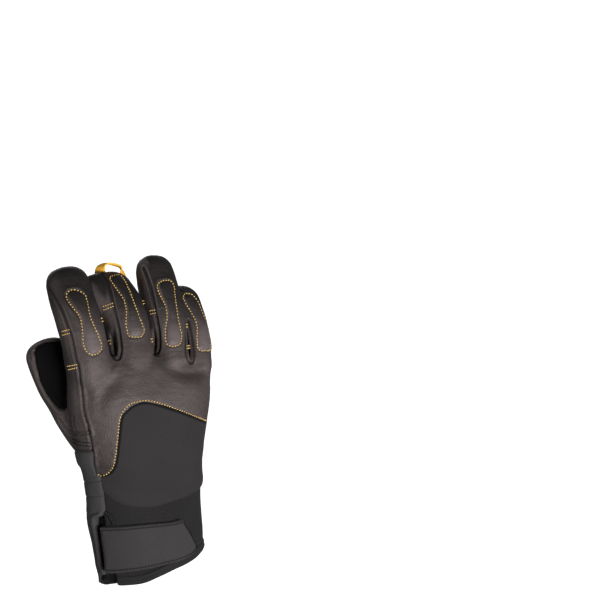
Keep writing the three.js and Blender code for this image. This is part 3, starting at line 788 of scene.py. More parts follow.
def shut_ends(piece, rows, columns):
    """A face over the first and the last ring of a closed tube's grid."""
    shape = bmesh.new()
    shape.from_mesh(piece.data)
    shape.verts.ensure_lookup_table()
    last = (rows - 1) * columns
    shape.faces.new([shape.verts[k] for k in range(columns - 1, -1, -1)])
    shape.faces.new([shape.verts[last + k] for k in range(columns)])
    shape.to_mesh(piece.data)
    shape.free()


def add_wall(piece, thickness):
    """A wall of that thickness inwards from the piece's faces."""
    wall = piece.modifiers.new("wall", "SOLIDIFY")
    wall.thickness = thickness * MM
    wall.offset = -1


def sheet_object(name, points, around=False, thickness=0.0, u=None, v=None, flip=False):
    """A grid of points as a piece, with a wall of that thickness inwards. Its attributes way_u and
    way_v measure metres along its columns and rows."""
    rows, columns = points.shape[:2]
    faces = grid_faces(rows, columns, around)
    if flip:
        faces = faces[:, ::-1]
    piece = new_object(name, points.reshape(-1, 3), faces)
    if u is None:
        steps = np.linalg.norm(np.diff(points, axis=1), axis=-1)
        u = np.concatenate([np.zeros((rows, 1)), np.cumsum(steps, axis=1)], axis=1)
    if v is None:
        steps = np.linalg.norm(np.diff(points, axis=0), axis=-1)
        v = np.concatenate([np.zeros((1, columns)), np.cumsum(steps, axis=0)], axis=0)
    set_attribute(piece, "way_u", (u * MM).ravel())
    set_attribute(piece, "way_v", (v * MM).ravel())
    if around:
        shut_ends(piece, rows, columns)
    if thickness:
        add_wall(piece, thickness)
    return piece


def ribbon_points(line, wide, thick, width_way):
    """A flat tape along a line: its section is a rounded rectangle, wide along width_way, whose
    halves go as the signed powers 0.25 and 0.6 of the cosine and sine."""
    along = unit(np.gradient(line, axis=0))
    way = unit(width_way - along * (width_way * along).sum(-1, keepdims=True))
    through = np.cross(along, way)
    angle = np.linspace(0, 2 * np.pi, 20, endpoint=False)
    a = signed_power(np.cos(angle), 0.25) * wide / 2
    b = signed_power(np.sin(angle), 0.6) * thick / 2
    return (line[:, None, :] + a[None, :, None] * way[:, None, :]
            + b[None, :, None] * through[:, None, :])


def close_ends(points):
    """The grid with a shrunken copy of its first and last rows added, which shuts both ends."""
    def shrunk(row):
        """The row at a hundredth of its size about its own middle."""
        middle = row.mean(1, keepdims=True)
        return middle + 0.01 * (row - middle)

    return np.concatenate([shrunk(points[:1]), points, shrunk(points[-1:])])


def distance_to(points, line, limit):
    """Distance of each point to a line of short straight stretches, or limit where it is farther."""
    found = np.full(len(points), float(limit))
    near = ((points > line.min(0) - limit) & (points < line.max(0) + limit)).all(1)
    index = np.nonzero(near)[0]
    a, b = line[:-1], line[1:]
    way = b - a
    size = np.maximum((way**2).sum(-1), 1e-9)
    for part in np.array_split(index, max(1, len(index) * len(a) // 2000000)):
        offset = points[part][:, None, :] - a[None]
        share = np.clip((offset * way).sum(-1) / size, 0, 1)
        gap = offset - share[..., None] * way
        found[part] = np.minimum(found[part], np.sqrt((gap**2).sum(-1)).min(1))
    return found


def waves(points, name):
    """Soft seeded waves: sums of sines in random directions, seven of the table's length and seven
    of half of it that are a little over half as high."""
    height, length, seed = WAVES[name]
    random = np.random.default_rng(seed)
    total = np.zeros(len(points))
    for part, size in ((length, 1.0), (length / 2, 0.55)):
        ways = unit(random.normal(size=(7, 3))) * (2 * np.pi / part)
        ways = ways * random.uniform(0.7, 1.35, size=(7, 1))
        phase = random.uniform(0, 2 * np.pi, 7)
        total += size * np.sin(points @ ways.T + phase).sum(1) / 2.6
    return height * (total / 1.6)


# The camera, and rays from its picture to the glove
def make_camera():
    """The photograph's view, level and turned to the left side of the glove."""
    data = bpy.data.cameras.new("camera")
    data.lens = CAMERA_LENS
    data.sensor_width = SENSOR
    data.clip_start = 0.05
    data.clip_end = 20
    piece = bpy.data.objects.new("camera", data)
    piece.location = Vector(CAMERA_PLACE * MM)
    piece.rotation_euler = (np.pi / 2, 0, CAMERA_TURN)
    bpy.context.scene.collection.objects.link(piece)
    bpy.context.scene.camera = piece


def picture_ray(spot):
    """The direction in space of a picture point."""
    x, y = spot[0] - PICTURE / 2, spot[1] - PICTURE / 2
    return unit(FORWARD * FOCAL_PIXELS + RIGHT * x - UP * y)


def to_picture(points):
    """Picture points of places in space."""
    offset = points - CAMERA_PLACE
    depth = offset @ FORWARD
    return np.stack([PICTURE / 2 + FOCAL_PIXELS * (offset @ RIGHT) / depth,
                     PICTURE / 2 - FOCAL_PIXELS * offset[:, 2] / depth], axis=1)


def cast(tree, spots):
    """Where the rays of the picture points meet the surface, with its normals. Points that miss
    are left out."""
    hits = [tree.ray_cast(Vector(CAMERA_PLACE), Vector(picture_ray(spot))) for spot in spots]
    hits = [hit for hit in hits if hit[0] is not None]
    return np.array([hit[0] for hit in hits]), np.array([hit[1] for hit in hits])


def settle(tree, points):
    """The nearest places on the surface, with its normals."""
    hits = [tree.find_nearest(Vector(point)) for point in points]
    return np.array([hit[0] for hit in hits]), np.array([hit[1] for hit in hits])


def inside(spots, outline):
    """Whether each picture point lies inside a closed outline, by counting crossings."""
    x, y = spots[:, :1], spots[:, 1:]
    a, b = outline, np.roll(outline, -1, axis=0)
    spans = (a[:, 1] > y) != (b[:, 1] > y)
    rise = np.where(np.abs(b[:, 1] - a[:, 1]) < 1e-9, 1e-9, b[:, 1] - a[:, 1])
    crossing = a[:, 0] + (y - a[:, 1]) * (b[:, 0] - a[:, 0]) / rise
    return (spans & (x < crossing)).sum(1) % 2 == 1


# The leather hand: one skin over the hand and the four fingers
def union_skin(name, voxel, inset, bottom, digits):
    """Closed tubes of the hand and the digits made one skin by a voxel remesh. Returns its points in
    millimetres and its quads."""
    rows, columns = HAND_GRID
    levels = np.linspace(bottom, HAND_ROWS[-1][2] - inset, rows)
    angle = np.linspace(0, 2 * np.pi, columns, endpoint=False)
    level, turn = np.meshgrid(levels, angle, indexing="ij")
    tubes = [hand_surface(level, turn, -inset)]
    tubes += [digit_surface(digit, *DIGIT_GRID, inset) for digit in digits]
    stacks, faces, base = [], [], 0
    for tube in tubes:
        tube = close_ends(tube)
        stacks.append(tube.reshape(-1, 3))
        faces.append(grid_faces(tube.shape[0], tube.shape[1], True) + base)
        base += tube.shape[0] * tube.shape[1]
    rough = new_object(name, np.concatenate(stacks), np.concatenate(faces))
    remesh = rough.modifiers.new("skin", "REMESH")
    remesh.mode = "VOXEL"
    remesh.voxel_size = voxel * MM
    shaped = rough.evaluated_get(bpy.context.evaluated_depsgraph_get())
    mesh = shaped.to_mesh()
    points = np.empty(len(mesh.vertices) * 3, np.float32)
    mesh.vertices.foreach_get("co", points)
    corners = np.empty(len(mesh.loops), np.int32)
    mesh.loops.foreach_get("vertex_index", corners)
    shaped.to_mesh_clear()
    bpy.data.objects.remove(rough)
    return points.reshape(-1, 3).astype(float) / MM, corners.reshape(-1, 4)


def used_part(points, quads, keep, *values):
    """The kept quads with only the points that they use, and the same points of other values."""
    quads = quads[keep]
    used = np.unique(quads)
    order = np.full(len(points), -1)
    order[used] = np.arange(len(used))
    return (points[used], order[quads], *(value[used] for value in values))


def neighbours(quads, count):
    """Both ends of every edge, once each, and the number of edges at each point."""
    pairs = np.concatenate([quads[:, [0, 1]], quads[:, [1, 2]], quads[:, [2, 3]], quads[:, [3, 0]]])
    pairs = np.unique(np.sort(pairs, axis=1), axis=0)
    return pairs, np.maximum(np.bincount(pairs.ravel(), minlength=count), 1)


def relax(points, pairs, degree, weight, rounds):
    """Each point moves its weight's share of the way to its neighbours' mean, several times. The
    weight is one number, or one for each point."""
    a, b = pairs.T
    for _ in range(rounds):
        mean = np.stack([
            (np.bincount(a, points[b, k], len(points)) + np.bincount(b, points[a, k], len(points)))
            / degree for k in range(3)
        ], axis=1)
        points = points + (mean - points) * np.reshape(weight, (-1, 1))
    return points


def normals_of(points, quads):
    """Normals at points: the faces' cross products summed at their corners."""
    p = points[quads]
    cross = np.cross(p[:, 2] - p[:, 0], p[:, 3] - p[:, 1])
    return unit(np.stack([
        np.bincount(quads.ravel(), np.repeat(cross[:, k], 4), len(points)) for k in range(3)
    ], axis=1))


def tree_of(points, quads):
    """The surface made ready for rays and nearest points."""
    return BVHTree.FromPolygons(points.tolist(), quads.tolist())


def strip_share(name, distance):
    """The share of a strip's reach that is left at a distance along its finger."""
    length = DIGITS[name].length
    return 1 + (TIP_SHARE[name] - 1) * ease(distance, length - TIP_NARROWING, length)


def side_line(name, side, reach, start, stop):
    """A seam down a finger: the line on its skin at reach towards the palm, on one side."""
    guide = DIGITS[name]
    distance = np.linspace(start, stop, 60)
    centre, _, across, palmward, wide, deep = guide.station(distance)
    tip = np.clip((distance - (guide.length - TIP_LENGTH)) / TIP_LENGTH, 0, 0.995)
    narrow = tip_width(name, tip)
    wide, deep = wide * narrow, deep * narrow
    p = np.clip(reach * strip_share(name, distance), -deep * 0.97, deep * 0.97)
    a = side * wide * (1 - np.abs(p / deep) ** SECTION_POWER) ** (1 / SECTION_POWER)
    return centre + across * a[:, None] + palmward * p[:, None]


def hand_line(side, reach, bottom):
    """A seam down the side of the hand: the line on its tube at reach towards the palm."""
    levels = np.linspace(HAND_SEAM_TOP, bottom, 40)
    return hand_surface(levels, reach_angle(levels, side, reach))


def outer_seam(name, side, reach, bottom):
    """A seam down the outer side of a finger and on down the hand."""
    guide = DIGITS[name]
    start = guide.distance_at(FINGER_ROOT) + 4
    finger = side_line(name, side, reach, start, guide.length - OUTER_TIP_GAP)
    hand = hand_line(side, reach, bottom)
    return spline(np.concatenate([finger[::-6], hand[::5]]), 200)


def crotch_line(left, right, level, reach):
    """The palm's seam from one fingertip down round the crotch in a half ellipse and up to the other
    tip."""
    sides = []
    for name, side in ((left, 1), (right, -1)):
        guide = DIGITS[name]
        start = guide.distance_at(level + 9)
        sides.append(side_line(name, side, reach, start, guide.length - CROTCH_TIP_GAP))
    one, other = sides[0][0], sides[1][0]
    middle = (one + other) / 2
    sideways = unit(other - one)
    half = max(np.linalg.norm(other - one) / 2, 3.6)
    low = np.array([0, -2.0, level - middle[2]])
    turn = np.linspace(0.15, np.pi - 0.15, 13)[:, None]
    bend = middle - sideways * half * np.cos(turn) + low * np.sin(turn)
    return np.concatenate([sides[0][::-1], bend, sides[1]])


def cast_parts(tree, spots):
    """The surface under a picture line, cut where it leaps from one finger to another."""
    line, _ = cast(tree, spots)
    steps = np.linalg.norm(np.diff(line, axis=0), axis=1)
    parts = np.split(line, np.nonzero(steps > 3.5)[0] + 1)
    return [part for part in parts if len(part) > 3]


def leather_depth(points):
    """How far each point of the hand lies inside the leather, in millimetres: below zero it is
    under the wrist panel, the gusset or the cuff. The back, the thumb side and the palm each have
    their own borders, and the greatest of the three counts."""
    angle = np.degrees(hand_angle(points))
    x, z = points[:, 0], points[:, 2]
    edge = spline(LEATHER_EDGE, 400)
    gap = distance_to(points[:, [0, 2]], edge, 30)
    above = z > np.interp(x, edge[:, 0], edge[:, 1])
    seam = read_table(SIDE_SEAM, z)
    back = np.where(above, gap, -gap) + SEAM_INSET
    back = np.minimum(back, (angle - seam) * MM_PER_DEGREE + BACK_OVERLAP)
    back = np.minimum(back, (PALM_START - angle) * MM_PER_DEGREE + BORDER_OVERLAP)
    wound = np.where(angle > 60, angle - 360, angle)
    side = np.minimum((seam - wound) * MM_PER_DEGREE + SIDE_OVERLAP,
                      (wound - (PALM_LIMIT - 360)) * MM_PER_DEGREE + BORDER_OVERLAP)
    side = np.minimum(side, z - THUMB_HEM)
    palm = np.minimum(angle - PALM_START, PALM_LIMIT - angle) * MM_PER_DEGREE + BORDER_OVERLAP
    palm = np.minimum(palm, z - PALM_HEM)
    return np.maximum(np.maximum(back, side), palm)


def hand_seams(tree):
    """Every seam between back, strips and palm: round each crotch on both faces, and down the two
    outer sides of the hand. All are laid on the skin."""
    lines = [crotch_line(*pair, level, STRIP_REACH) for pair, level in CROTCHES.items()]
    for spots in GAP_SEAMS:
        lines += cast_parts(tree, spline(spots, 240))
    lines.append(cast(tree, spline(INDEX_SEAM, 160))[0])
    lines.append(outer_seam("index", -1, INDEX_PALM_REACH, INDEX_SEAM_END))
    for reach in (-LITTLE_BACK_REACH, LITTLE_PALM_REACH):
        lines.append(outer_seam("little", 1, reach, LITTLE_SEAM_END))
    return [settle(tree, even(line, int(length_of(line) / SEAM_STEP)))[0] for line in lines]


def crease_lift(points, tree):
    """The creases: a groove exp(-(d/w)^2) along each, with a lower swelling on both sides. A crease
    whose rays miss this skin, or leap across it, is left out."""
    lift = np.zeros(len(points))
    for spots, depth, wide in CREASES:
        line, _ = cast(tree, spline(spots, 40))
        if len(line) < 2 or length_of(line) > 60:
            continue
        gap = distance_to(points, line, 4.5 * wide)
        lift += groove(gap, depth, wide) + swell(gap, 0.3 * depth, 2.2 * wide, wide)
    return lift


def smooth_roots(points, pairs, degree):
    """The skin relaxed round the fingers' roots, under the floor of the crotches."""
    floor = np.interp(points[:, 0], *CROTCH_FLOOR)
    root = bell(points[:, 2] - ROOT_LEVEL, ROOT_REACH) * ease(floor - points[:, 2], *ROOT_FADE)
    weight, rounds = ROOT_RELAX
    return relax(points, pairs, degree, np.clip(root * 0.9, 0, weight), rounds)


def sink_clefts(points, normals):
    """The narrow openings between fingers, pushed away from the camera inside their outlines: depth
    times 1 - exp(-d/edge), with d the picture's distance from the outline. Returns the points, and
    which of them lie deep inside."""
    spots = to_picture(points)
    away = unit(points - CAMERA_PLACE)
    facing = (normals * away).sum(1) < 0.1
    hollow = np.zeros(len(points), bool)
    for outline, depth in CLEFTS:
        ring = closed_spline(outline, 80)
        within = inside(spots, ring) & facing
        gap = distance_to(spots, closed(ring), 20)
        top = ring[:, 1].min()
        push = depth * ease(spots[:, 1], top, top + CLEFT_FADE) * (1 - np.exp(-gap / CLEFT_EDGE))
        points = points + away * (within * push)[:, None]
        hollow |= within & (gap > 0.7) & (spots[:, 1] > top + CLEFT_FADE)
    return points, hollow


def pad_relief(points, normals, tree):
    """The knuckle pads' lift: inside each outline a soft crown 1 - exp(-d/reach), along it a stitched
    groove and outside it a low swelling. Returns also how far each point lies inside a pad, and
    the outlines on the skin."""
    spots = to_picture(points)
    facing = (normals * (CAMERA_PLACE - points)).sum(1) > 0
    lift = np.zeros(len(points))
    pad = np.full(len(points), -12.0)
    rings = []
    for outline in PAD_OUTLINES.values():
        flat = closed_spline(outline, 150)
        ring = closed(cast(tree, flat)[0])
        rings.append(ring)
        gap = distance_to(points, ring, 12)
        within = inside(spots, flat) & facing & (gap < 11.9)
        own = np.where(within, gap, 0)
        lift += PAD_CROWN * (1 - np.exp(-own / PAD_REACH)) + groove(gap, *PAD_GROOVE)
        lift += np.where(within, 0, swell(gap, *PAD_SWELL))
        pad = np.where(within, gap, np.maximum(pad, -gap))
    return lift, pad, rings


def make_hand():
    """The leather skin with its seams, pads, folds and edges, worked into the remeshed union."""
    points, quads = union_skin("hand_union", *LEATHER_SKIN, FINGERS)
    pairs, degree = neighbours(quads, len(points))
    points = relax(points, pairs, degree, *VOXEL_RELAX)
    points = smooth_roots(points, pairs, degree)
    normals = normals_of(points, quads)
    if (normals * (points - points.mean(0))).sum() < 0:
        quads = quads[:, ::-1]
        normals = -normals
    dents = dent_depth(points[:, 0], points[:, 2]) * np.clip(-normals[:, 1], 0, 1)
    points = points + PALMWARD * dents[:, None]
    points, hollow = sink_clefts(points, normals)
    points = relax(points, pairs, degree, *DENT_RELAX)
    normals = normals_of(points, quads)
    tree = tree_of(points, quads)

    # Seams: a groove along each, with a swelling on both sides. The cleft hollows count as lying on a
    # seam, which also gives them the seams' dark as painted shade.
    seam = np.where(hollow, 0.6, 20.0)
    for line in hand_seams(tree):
        seam = np.minimum(seam, distance_to(points, line, 9))
    lift = swell(seam, *SEAM_SWELL) + groove(seam, *SEAM_GROOVE)
    pad_lift, pad, pad_rings = pad_relief(points, normals, tree)
    lift += pad_lift

    # The gold seam along the leather's edge, the edge itself, creases and broad folds
    gold_gap = distance_to(points, cast(tree, spline(EDGE_SEAM, 160))[0], 8)
    depth = leather_depth(points)
    shown = ease(depth, -0.9, 0.9)
    lift += shown * (crease_lift(points, tree) + groove(gold_gap, *GOLD_GROOVE))
    lift += LEATHER_STEP * shown - LEATHER_SUNK
    lift += shown * waves(points, "leather") * ease(seam, 1, 6)
    lift += shown * waves(points * GRAIN_STRETCH, "fine_folds") * ease(seam, 1, 4)
    points = points + normals * lift[:, None]
    points = relax(points, pairs, degree, *RELIEF_RELAX)

    keep = (points[quads][:, :, 2].max(1) > HIDDEN_BOTTOM) & (depth[quads].max(1) > -HIDDEN_LEATHER)
    points, quads, seam, pad, depth = used_part(points, quads, keep, seam, pad, depth)
    piece = new_object("leather_hand", points, quads)
    # The seam distance is near nothing in the cleft hollows, so that their colour is painted shade
    set_attribute(piece, "seam", seam)
    set_attribute(piece, "pad_inside", pad)
    set_attribute(piece, "depth", depth)
    set_attribute(piece, "left", -normals_of(points, quads)[:, 0])
    return piece, tree_of(points, quads), pad_rings


# Stitches: short rounded rods laid on a surface
def stitch_rods(starts, ends, radius, normals):
    """Rods from starts to ends, each a five-ring tube that is thick in the middle and bowed a
    little outward along its normal. All are worked out in whole arrays."""
    rings = np.array([0.0, 0.2, 0.5, 0.8, 1.0])
    size = np.array([0.45, 0.9, 1.0, 0.9, 0.45])
    bow = np.array([-0.3, 0.35, 0.55, 0.35, -0.3]) * radius
    sides = 6
    angle = np.linspace(0, 2 * np.pi, sides, endpoint=False)
    along = unit(ends - starts)
    side = unit(np.cross(normals, along))
    top = np.cross(along, side)
    centre = starts[:, None] + (ends - starts)[:, None] * rings[None, :, None]
    centre = centre + normals[:, None] * bow[None, :, None]
    spread = radius * size[None, :, None, None]
    around = (np.cos(angle)[:, None] * side[:, None, None, :]
              + np.sin(angle)[:, None] * top[:, None, None, :])
    points = centre[:, :, None, :] + spread * around
    count = len(starts)
    block = points.reshape(count, -1, 3)
    tube = grid_faces(len(rings), sides, True)
    near = np.arange(sides)
    far = near + sides * (len(rings) - 1)
    caps = np.array([
        [near[0], near[5], near[4], near[3]], [near[0], near[3], near[2], near[1]],
        [far[0], far[1], far[2], far[3]], [far[0], far[3], far[4], far[5]],
    ])
    faces = np.concatenate([tube, caps])
    faces = faces[None] + (np.arange(count) * block.shape[1])[:, None, None]
    return block.reshape(-1, 3), faces.reshape(-1, 4)


def row_of_stitches(line, normals, pitch, cover, slant):
    """Starts and ends of the stitches along a line, with cover the thread's share of each pitch and
    slant the millimetres that each end lies off the line."""
    size = length_of(line)
    count = max(1, int(round(size / pitch)))
    reach = reach_along(line)
    start = (np.arange(count) + (1 - cover) / 2) * size / count
    stop = (np.arange(count) + (1 + cover) / 2) * size / count
    starts, ends = read_line(line, reach, start), read_line(line, reach, stop)
    ups = unit(read_line(normals, reach, (start + stop) / 2))
    aside = unit(np.cross(ups, ends - starts)) * slant
    return starts - aside, ends + aside, ups


def make_stitches(name, rows, radius, finish):
    """One piece from several rows of stitches."""
    parts = [row_of_stitches(*row) for row in rows]
    starts, ends, ups = (np.concatenate([part[k] for part in parts]) for k in range(3))
    points, faces = stitch_rods(starts, ends, radius, ups)
    piece = new_object(name, points, faces)
    dress(piece, finish)
    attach(piece, "root")


# Materials
def rgb(red, green, blue):
    """A colour with full alpha."""
    return (red, green, blue, 1.0)


LEATHER_TONES = rgb(0.042, 0.0335, 0.033), rgb(0.056, 0.0455, 0.045)
# The thumb's leather: the hand's leather made lighter, as painted light
THUMB_LIT_TONES = rgb(0.050, 0.0395, 0.039), rgb(0.066, 0.0530, 0.052)
# Painted highlight on the lower ends of the knuckle pads
PAD_HIGHLIGHT = rgb(0.108, 0.087, 0.087)
# Painted shade at the fingertips, which turn away from the light
TIP_SHADE = rgb(0.0075, 0.0065, 0.007)
LIT_SIDE = rgb(0.100, 0.082, 0.080)
# Painted shade on left-facing sides below the fingers' roots, and towards the wrist
SHADED_LEATHER = rgb(0.022, 0.018, 0.018)
# Painted shade on faces turned steeply left, into the gaps
STEEP_SIDE_SHADE = rgb(0.008, 0.007, 0.007)
# The seams' own dark, which also paints shade in the cleft hollows
SEAM_DARK_AND_CLEFT_SHADE = rgb(0.005, 0.004, 0.004)
# Painted shade along the leather's edge and over its hidden part under the cloth
EDGE_SHADE = rgb(0.006, 0.005, 0.005)
THUMB_SEAM_BLACK = rgb(0.004, 0.004, 0.004)
# The wipe panel's near-black: partly its own colour, partly painted shade
WIPE_BLACK_AND_SHADE = rgb(0.006, 0.0055, 0.006)
CLOTH_SHADE = rgb(0.003, 0.003, 0.003)
WARM_TINT = rgb(1.0, 0.87, 0.84)
GRAIN_SCALE = 1150.0

# Millimetres between which the leather's painted light and shade set in: the shaded tips, the index
# fingertip's side by level and by x, the highlit pads, the lit, shaded and steep shaded sides, and the
# shaded wrist
TIPS_SHADED = (-61, -24)
INDEX_TIP = (-47, -27)
INDEX_REACH = (-34, -22)
PADS_HIGHLIT = (-35, -65)
SIDES_LIT = (-80, -45)
SIDES_SHADED = (-75, -105)
STEEP_SIDES_SHADED = (-120, -85)
WRIST_SHADED = (-170, -112)

# Each cloth's dark and light colour, roughness, ribs to the metre, their depth, and whether it is
# darker where its attribute "shade" is low
CLOTHS = {
    "softshell": (rgb(0.0195, 0.0175, 0.0182), rgb(0.0285, 0.0260, 0.0268), 0.8, 1300, 0.1, True),
    "ribbed_knit": (rgb(0.0088, 0.0080, 0.0085), rgb(0.0195, 0.0180, 0.0186), 0.85, 700, 0.25, False),
    "gusset_cloth": (rgb(0.038, 0.036, 0.037), rgb(0.054, 0.051, 0.052), 0.75, 900, 0.2, False),
    "strap_cloth": (rgb(0.028, 0.0255, 0.0262), rgb(0.041, 0.038, 0.0388), 0.75, 1300, 0.15, False),
    "hem_cloth": (rgb(0.012, 0.0115, 0.0118), rgb(0.021, 0.0196, 0.0204), 0.8, 800, 0.3, True),
    # The lining's near-black is partly painted shade for the glove's inside
    "lining_and_inner_shade": (rgb(0.005, 0.005, 0.005), rgb(0.009, 0.009, 0.009), 0.9, 500, 0.5, False),
    "yellow_webbing": (rgb(1.0, 0.44, 0.03), rgb(1.0, 0.56, 0.07), 0.6, 700, 0.8, False),
    "black_webbing": (rgb(0.008, 0.008, 0.008), rgb(0.016, 0.016, 0.016), 0.7, 700, 0.8, False),
}

# Each thread's dark and light colour
THREADS = {
    "gold_thread": (rgb(0.52, 0.31, 0.07), rgb(0.95, 0.66, 0.24)),
    "dark_thread": (rgb(0.004, 0.004, 0.004), rgb(0.009, 0.009, 0.009)),
}


class Maker:
    """Builds one material's nodes."""

    def __init__(self, name):
        self.material = bpy.data.materials.new(name)
        self.material.use_nodes = True
        self.tree = self.material.node_tree
        self.tree.nodes.clear()

    def node(self, kind, settings=None, output=0, **inputs):
        """A node of that type with its settings and the values or links of its sockets. Returns its
        output of that number or name, if it has any."""
        made = self.tree.nodes.new("ShaderNode" + kind)
        for key, value in (settings or {}).items():
            setattr(made, key, value)
        for key, value in inputs.items():
            wanted = key.replace("_", " ")
            if wanted.isdigit():
                socket = made.inputs[int(wanted)]
            else:
                socket = next(s for s in made.inputs if s.name == wanted and s.enabled)
            if isinstance(value, Wire):
                self.tree.links.new(value.socket, socket)
            else:
                socket.default_value = value
        outs = [s for s in made.outputs if s.enabled]
        if not outs:
            return None
        return Wire(self, outs[output] if isinstance(output, int) else made.outputs[output])

    def attribute(self, name):
        """The piece's own attribute of that name."""
        return self.node("Attribute", {"attribute_name": name, "attribute_type": "GEOMETRY"}, "Fac")

    def place(self):
        """Object coordinates, in metres."""
        return self.node("TexCoord", None, "Object")

    def mix(self, share, one, other):
        """A colour between two, by share."""
        return self.node("Mix", {"data_type": "RGBA"}, 0, **{"0": share, "6": one, "7": other})

    def ramp(self, value, low, high):
        """0 to 1 as the value goes from low to high."""
        return self.node("MapRange", {"interpolation_type": "SMOOTHSTEP"}, 0,
                         Value=value, From_Min=low, From_Max=high)

    def spots(self, scale, detail, rough, place):
        """Soft noise on places, scale spots to the metre."""
        return self.node("TexNoise", None, 0, Vector=place, Scale=scale, Detail=detail,
                         Roughness=rough)

    def skin(self, place):
        """The pebbled grain and the broad soft patches of leather."""
        grain = self.node("TexVoronoi", {"feature": "SMOOTH_F1"}, 0, Vector=place,
                          Scale=GRAIN_SCALE, Smoothness=0.7)
        return grain, self.spots(38.0, 3.0, 0.55, place)

    def surface(self, color, roughness, height=None, bump=0.0, step=0.0, **fixed):
        """The shader with its colour and roughness, a bump of step metres from the height, and fixed
        values on its own sockets."""
        if height is not None:
            fixed["Normal"] = self.node("Bump", None, 0, Height=height, Strength=bump, Distance=step)
        return self.node("BsdfPrincipled", None, 0, Base_Color=color, Roughness=roughness, **fixed)

    def finished(self, shader):
        """The material, with the shader as its surface."""
        self.node("OutputMaterial", None, 0, Surface=shader)
        return self.material


class Wire:
    """A socket that takes part in arithmetic."""

    def __init__(self, maker, socket):
        self.maker = maker
        self.socket = socket

    def maths(self, operation, one, other):
        """The result of one operation on two values or sockets."""
        return self.maker.node("Math", {"operation": operation}, 0, **{"0": one, "1": other})

    def __add__(self, other):
        return self.maths("ADD", self, other)

    __radd__ = __add__

    def __sub__(self, other):
        return self.maths("SUBTRACT", self, other)

    def __rsub__(self, other):
        return self.maths("SUBTRACT", other, self)

    def __mul__(self, other):
        return self.maths("MULTIPLY", self, other)

    __rmul__ = __mul__

    def sine(self):
        """The sine of this value in radians."""
        return self.maths("SINE", self, 0.0)


def dress(piece, material):
    """Gives the piece this one material."""
    piece.data.materials.clear()
    piece.data.materials.append(material)


def leather_finish():
    """Brown-black goat leather: pebbled grain and soft broad patches, with a painted highlight on the
    pads and on left-facing sides, and painted shade at the fingertips, on deep and steep sides, near
    the wrist, in the clefts and along the leather's edge. The seams are dark."""
    m = Maker("glove_leather")
    place = m.place()
    grain, patch = m.skin(place)
    fine = m.spots(700.0, 4.0, 0.6, place)

    def band(limits, axis="Z"):
        """0 to 1 between two places along an axis."""
        low, high = limits
        return m.ramp(m.node("SeparateXYZ", None, axis, Vector=place), low * MM, high * MM)

    aside = m.attribute("left")
    left = m.ramp(aside, 0.38, 0.68)
    index_tip = band(INDEX_TIP) * (1 - band(INDEX_REACH, "X"))
    lit = left * (1 - index_tip * 0.85)
    # Painted highlight where the pads' lower ends face the light
    pad_highlight = m.ramp(m.attribute("pad_inside"), -2.0, 1.5) * band(PADS_HIGHLIT)
    # Painted shade on the fingertips, less where the sides carry painted light
    tip_shade = band(TIPS_SHADED) * (1 - lit * 0.7)
    # Painted shade where the skin turns steeply left
    steep_shade = m.ramp(aside, 0.84, 1.0) * band(STEEP_SIDES_SHADED)
    color = m.mix(m.ramp(patch, 0.3, 0.7), *LEATHER_TONES)
    for share, tone in (
        (pad_highlight * 0.95, PAD_HIGHLIGHT),
        (tip_shade * 0.92, TIP_SHADE),
        (band(SIDES_LIT) * lit * 0.62, LIT_SIDE),
        # Painted shade on the left-facing sides below the fingers' roots
        (band(SIDES_SHADED) * left * 0.5, SHADED_LEATHER),
        (steep_shade * 0.5, STEEP_SIDE_SHADE),
        # Painted shade towards the wrist, where the light falls off
        ((1 - band(WRIST_SHADED)) * 0.6, SHADED_LEATHER),
        (1 - m.ramp(m.attribute("seam"), 0.2, 1.6), SEAM_DARK_AND_CLEFT_SHADE),
        # Painted shade along the leather's edge and under the cloth
        (1 - m.ramp(m.attribute("depth"), -0.2, 0.9), EDGE_SHADE),
    ):
        color = m.mix(share, color, tone)
    rough = 0.42 + 0.12 * patch + 0.1 * grain
    return m.finished(m.surface(
        color, rough, grain * 0.7 + fine * 0.5, bump=0.45, step=0.0008, Specular_IOR_Level=0.42,
        Specular_Tint=WARM_TINT,
    ))


def cloth_finish(name):
    """Cloth with fine ribs across and along it, and a little fuzz."""
    dark, light, rough, ribs, rib_depth, shade = CLOTHS[name]
    m = Maker(name)
    place = m.place()
    wave = (m.attribute("way_u") * (2 * np.pi * ribs)).sine()
    cross = (m.attribute("way_v") * (2 * np.pi * ribs * 1.3)).sine()
    fuzz = m.spots(900.0, 3.0, 0.6, place)
    patch = m.spots(30.0, 2.0, 0.5, place)
    tone = wave * (0.5 * rib_depth) + cross * 0.12 + fuzz * 0.9
    color = m.mix(m.ramp(tone + patch * 0.5, 0.2, 1.2), dark, light)
    if shade:
        color = m.mix(m.ramp(m.attribute("shade"), 0.0, 1.0), CLOTH_SHADE, color)
    return m.finished(m.surface(
        color, rough, wave * rib_depth + cross * 0.2 + fuzz * 0.8, bump=0.35, step=0.0004,
        Sheen_Weight=0.04, Sheen_Roughness=0.5, Specular_IOR_Level=0.15,
    ))


def thread_finish(name):
    """Thread with a fine uneven twist."""
    m = Maker(name)
    tone = m.spots(1600.0, 2.0, 0.5, m.place())
    color = m.mix(m.ramp(tone, 0.35, 0.65), *THREADS[name])
    return m.finished(m.surface(color, 0.6, tone, bump=0.3, step=0.0003, Specular_IOR_Level=0.3))


make_camera()

# The leather hand with its gold stitches
hand, hand_tree, pad_rings = make_hand()
dress(hand, leather_finish())
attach(hand, "root")
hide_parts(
    "back_leather", "palm_leather", "side_strip_index", "side_strip_little",
    "fourchette_index_middle", "fourchette_middle_ring", "fourchette_ring_little",
    "knuckle_pad_index", "knuckle_pad_middle", "knuckle_pad_ring", "knuckle_pad_little",
)


